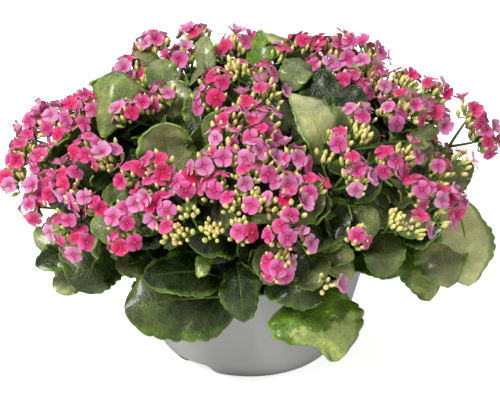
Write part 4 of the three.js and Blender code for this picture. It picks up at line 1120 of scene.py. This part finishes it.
def floret_pattern(rise, droop, cup, tilt, play, salt):
    """One flower: four petals round a small raised throat, each held a little its own way."""
    points, faces, spots = [], [], []
    for k in range(4):
        lift = rise + play * (draw(salt + k) - 0.5)
        petal, petal_faces, petal_spots = petal_pattern(lift, droop, cup, tilt)
        angle = k * math.pi / 2 + 0.4 * play * (draw(salt + k * 5 + 2) - 0.5)
        turn = np.array([[math.cos(angle), -math.sin(angle), 0],
                         [math.sin(angle), math.cos(angle), 0], [0, 0, 1]])
        start = k * len(petal)
        points.append(petal @ turn.T + (0, 0, 0.012 * (k % 2)))
        faces += [tuple(v + start for v in face) for face in petal_faces]
        spots.append(petal_spots)
    bpy.ops.mesh.primitive_cone_add(vertices=5, radius1=0.11 * MM, radius2=0.05 * MM,
                                    depth=0.14 * MM, location=(0, 0, 0.05 * MM))
    throat, throat_faces = pattern_of(bpy.context.object)
    start = 4 * len(petal)
    points.append(throat)
    faces += [tuple(v + start for v in face) for face in throat_faces]
    spots.append(np.tile((0.0, 0.5), (len(throat), 1)))
    return np.concatenate(points), faces, np.concatenate(spots)


# Flat, turned back, cupped and half open flowers, with the share of each.
FLORETS = [
    (0.30, floret_pattern(0.34, 0.32, 0.05, 0.16, 0.16, 10)),
    (0.52, floret_pattern(0.10, 0.26, -0.06, -0.14, 0.22, 30)),
    (0.72, floret_pattern(0.42, 0.50, 0.10, 0.20, 0.30, 50)),
    (0.88, floret_pattern(0.74, 0.46, 0.14, 0.18, 0.20, 70)),
    (1.00, floret_pattern(1.25, 0.55, 0.22, 0.2, 0.22, 90)),
]

bpy.ops.mesh.primitive_uv_sphere_add(segments=6, ring_count=5, radius=MM)
bud_points, bud_faces = pattern_of(bpy.context.object)
bud_share = (bud_points[:, 2] + 1) / 2
slim = 1.0 - BUD_SLIMMING * bud_share ** 1.5
bud_points = bud_points * np.stack([slim, slim, np.ones(len(slim))], axis=1)
bud_points = bud_points * (BUD_RADIUS, BUD_RADIUS, BUD_LENGTH / 2) + (0, 0, BUD_LENGTH / 2)


def upright(facing, turn):
    """Three directions as rows: two across a facing, turned about it, and the facing."""
    helper = UP if abs(facing[2]) < 0.9 else np.array([1.0, 0, 0])
    side = unit(np.cross(helper, facing))
    other = np.cross(facing, side)
    across = math.cos(turn) * side + math.sin(turn) * other
    return np.stack([across, np.cross(facing, across), facing])


def dome_ways(out, count, widest, salt):
    """Ways out of a dome's middle, spread evenly by the golden turn with a little play."""
    axes = upright(out, draw(salt) * 2 * math.pi)
    ways = []
    for i in range(count):
        lean = math.acos(1 - (i + 0.5) / count * (1 - math.cos(math.radians(widest))))
        lean += 0.16 * (draw(salt + 3 * i + 1) - 0.5)
        turn = i * GOLDEN_TURN + 0.5 * (draw(salt + 3 * i + 2) - 0.5)
        spoke = np.array([math.sin(lean) * math.cos(turn), math.sin(lean) * math.sin(turn),
                          math.cos(lean)])
        ways.append(spoke @ axes)
    return ways


petals, tree, shader = new_material("pink_petals")
outward, side_mark = map_parts(tree, "Petal")
tint = attribute(tree, "tint")
body = ramp(tree, tint, [
    (0.0, (0.70, 0.006, 0.09)),
    (0.3, (0.70, 0.018, 0.20)),
    (0.7, (0.67, 0.09, 0.37)),
    (1.0, (0.70, 0.27, 0.53)),
])
edge = blend_colours(tree, tint, (0.70, 0.08, 0.30), (0.74, 0.52, 0.72))
rim = mask(tree, outward, 0.5, 1.0)
colour = blend_colours(tree, maths(tree, "MULTIPLY", rim, 0.7), body, edge)
streaks = noise(tree, object_coords(tree), 700, 2)
colour = blend_colours(tree, maths(tree, "MULTIPLY", streaks, 0.3), colour, (0.42, 0.008, 0.10))
ring = mask(tree, outward, 0.46, 0.14)
colour = blend_colours(tree, maths(tree, "MULTIPLY", ring, 0.8), colour, (0.36, 0.002, 0.03))
eye = mask(tree, outward, 0.09, 0.02)
colour = blend_colours(tree, eye, colour, (0.58, 0.36, 0.06))
# The petals' backs are paler: partly the petal's own paler back and partly painted light that
# lifts backs lying in shade.
under = mask(tree, maths(tree, "DIVIDE", side_mark, UNDERSIDE), 0.34, 0.44)
colour = blend_colours(tree, maths(tree, "MULTIPLY", under, 0.85), colour, (0.95, 0.50, 0.68))
tree.links.new(colour, shader.inputs["Base Color"])
socket(shader, "Sheen Weight", 0.5)
socket(shader, "Sheen Roughness", 0.45)
socket(shader, "Sheen Tint", (1.0, 0.7, 0.82, 1))
# A little light comes through the thin petals.
through = blend_colours(tree, ring, (0.95, 0.40, 0.65), (0.7, 0.12, 0.25))
glow = tree.nodes.new("ShaderNodeBsdfTranslucent")
tree.links.new(through, glow.inputs["Color"])
mixed = tree.nodes.new("ShaderNodeMixShader")
socket(mixed, "Fac", 0.15)
tree.links.new(shader.outputs["BSDF"], mixed.inputs[1])
tree.links.new(glow.outputs["BSDF"], mixed.inputs[2])
tree.links.new(mixed.outputs["Shader"], tree.nodes["Material Output"].inputs["Surface"])
socket(shader, "Subsurface Weight", 0.3)
socket(shader, "Subsurface Radius", (0.005, 0.002, 0.004))
socket(shader, "Specular IOR Level", 0.25)
bump(tree, shader, streaks, 0.2, 0.0004)

head_number = 1
for (name, head), (parts, neck, way) in frames.items():
    blooms = Bundle()
    spots = []
    growth = growths[name]
    for part, (joint, out, flowers, buds) in enumerate(parts):
        salt = head_number * 53 + part * 17
        hub = joint + HUB_LIFT * out
        branch = bezier([neck, (neck + joint) / 2 + 1.5 * out, hub], 6)
        growth.rod(branch, np.linspace(*BRANCH_RADII, 6), 6, np.linspace(GREEN_STALK, 0.3, 6))
        widest = math.degrees(math.acos(1 - CROWDING * max(1, flowers)))
        open_ways = dome_ways(out, flowers, widest, salt)
        for i, ray in enumerate(open_ways):
            size = FLORET_RADIUS * (0.84 + 0.28 * draw(salt + i * 11))
            reach = TUFT_HEIGHT * (0.96 + 0.20 * draw(salt + i * 13))
            centre = joint + reach * ray
            nod = np.array([draw(salt + i * 7) - 0.5, draw(salt + i * 9) - 0.5, 0.1])
            facing = unit(ray + 0.8 * (ray - ray.dot(out) * out) + 0.55 * nod)
            kind = draw(salt + i * 5)
            pattern, faces, map_spots = next(shape for share, shape in FLORETS if kind <= share)
            axes = upright(facing, draw(salt + i * 3) * math.pi)
            blooms.add(centre + size * (pattern @ axes), faces, draw(salt + i * 19))
            spots.append(map_spots)
            way_in = unit(facing + 0.9 * ray)
            base = centre - FLORET_TUBE * way_in
            tube = [hub, (hub + base) / 2, base, base + 2.4 * way_in, base + 5.5 * way_in,
                    centre - 0.02 * size * facing]
            growth.rod(tube, TUBE_RADII, 5, TUBE_RIPENESS)
        crowd = round(BUD_PLENTY * buds) + flowers // 2 if flowers else round(1.2 * buds)
        under = crowd // 2 if flowers else 0
        spread = widest + 8 if flowers else BUDS_ALONE_SPREAD
        rays = dome_ways(out, crowd - under, spread, salt + 7)
        rays += dome_ways(out, under, min(spread + 34, 100), salt + 9)[::-1]
        for i, ray in enumerate(rays):
            size = 0.75 + 0.45 * draw(salt + i * 23)
            high = 0.86 + 0.30 * draw(salt + i * 29)
            if i >= crowd - under:
                high = 0.42 + 0.30 * draw(salt + i * 29)
            elif any(ray.dot(other) > 0.955 for other in open_ways):
                high -= 0.26
            tip_way = unit(ray + 0.5 * out + 0.3 * UP)
            foot = joint + TUFT_HEIGHT * (high * ray + (0.2 if i >= crowd - under else 0) * out)
            foot -= 0.5 * BUD_LENGTH * tip_way
            axes = upright(tip_way, draw(salt + i * 31) * math.pi)
            ripe_share = 0.44 + (0.22 + 0.42 * draw(salt + i * 37)) * bud_share
            growth.add(foot + size * (bud_points @ axes), bud_faces, ripe_share)
            pedicel = [hub, (hub + foot) / 2, foot - 1.5 * tip_way, foot + 0.6 * tip_way]
            growth.rod(pedicel, PEDICEL_RADII, 4, PEDICEL_RIPENESS)
    head_number += 1
    if not blooms.points:
        blooms.add(neck + bud_points * 0.4, bud_faces, 0.5)
        spots.append(np.tile((0.6, 0.5), (len(bud_points), 1)))
    piece = blooms.piece(f"flowers_{name}_{head}", petals, "tint")
    map_layer(piece, "Petal", spots)
    smooth(piece, 70)
    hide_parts(f"head_{name}_{head}")
    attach(piece, "root")
for name, growth in growths.items():
    piece = growth.piece(f"stalks_{name}", green, "ripeness")
    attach(piece, "root")


# The studio: a plain white floor, a large soft light from the upper left, a weaker one from
# the right, and a pale surround. The camera looks down a little from in front.
CAMERA_RISE = math.radians(22)
CAMERA_DISTANCE = 1.9
TARGET_HEIGHT = 0.160
FRAME_WIDTH = 0.5
SKY_LIGHT = 0.33
FLOOR_SIZE = 60
FLOOR_GLOW = 0.76

bpy.ops.mesh.primitive_plane_add(size=FLOOR_SIZE, location=(0, 0, 0))
floor = bpy.context.object
floor.name = "floor"
paper, tree, shader = new_material("white_paper", 0.9)
socket(shader, "Base Color", (0.92, 0.92, 0.92, 1))
socket(shader, "Specular IOR Level", 0.0)
seen = tree.nodes.new("ShaderNodeLightPath").outputs["Is Camera Ray"]
tree.links.new(ramp(tree, seen, [(0, (0, 0, 0)), (1, (1, 1, 1))]), shader.inputs["Emission Color"])
socket(shader, "Emission Strength", FLOOR_GLOW)
floor.data.materials.append(paper)

world = bpy.data.worlds.new("surround")
bpy.context.scene.world = world
world.use_nodes = True
tree = world.node_tree
seen = tree.nodes.new("ShaderNodeLightPath").outputs["Is Camera Ray"]
glow = ramp(tree, seen, [(0, (SKY_LIGHT,) * 3), (1, (1, 1, 1))])
tree.links.new(glow, tree.nodes["Background"].inputs["Color"])
socket(tree.nodes["Background"], "Strength", 1.0)


def soft_light(name, place, target, size, power):
    """A square area light that looks at a point."""
    lamp = bpy.data.lights.new(name, "AREA")
    lamp.size = size
    lamp.energy = power
    light = bpy.data.objects.new(name, lamp)
    bpy.context.collection.objects.link(light)
    light.location = place
    way = Vector(target) - Vector(place)
    light.rotation_euler = way.to_track_quat("-Z", "Y").to_euler()


soft_light("key", (-1.2, -1.2, 1.8), (0, 0, 0.18), 0.8, 58)
soft_light("fill", (1.8, -1.3, 1.0), (0, 0, 0.15), 1.6, 7)
soft_light("top", (0.2, 0.9, 2.0), (0, 0, 0.2), 1.4, 14)

lens = bpy.data.cameras.new("camera")
lens.sensor_width = 36
lens.lens = 36 * CAMERA_DISTANCE / FRAME_WIDTH
camera = bpy.data.objects.new("camera", lens)
bpy.context.collection.objects.link(camera)
camera.location = (0, -CAMERA_DISTANCE * math.cos(CAMERA_RISE),
                   TARGET_HEIGHT + CAMERA_DISTANCE * math.sin(CAMERA_RISE))
camera.rotation_euler = (math.pi / 2 - CAMERA_RISE, 0, 0)
bpy.context.scene.camera = camera
bpy.context.scene.view_settings.view_transform = "Standard"
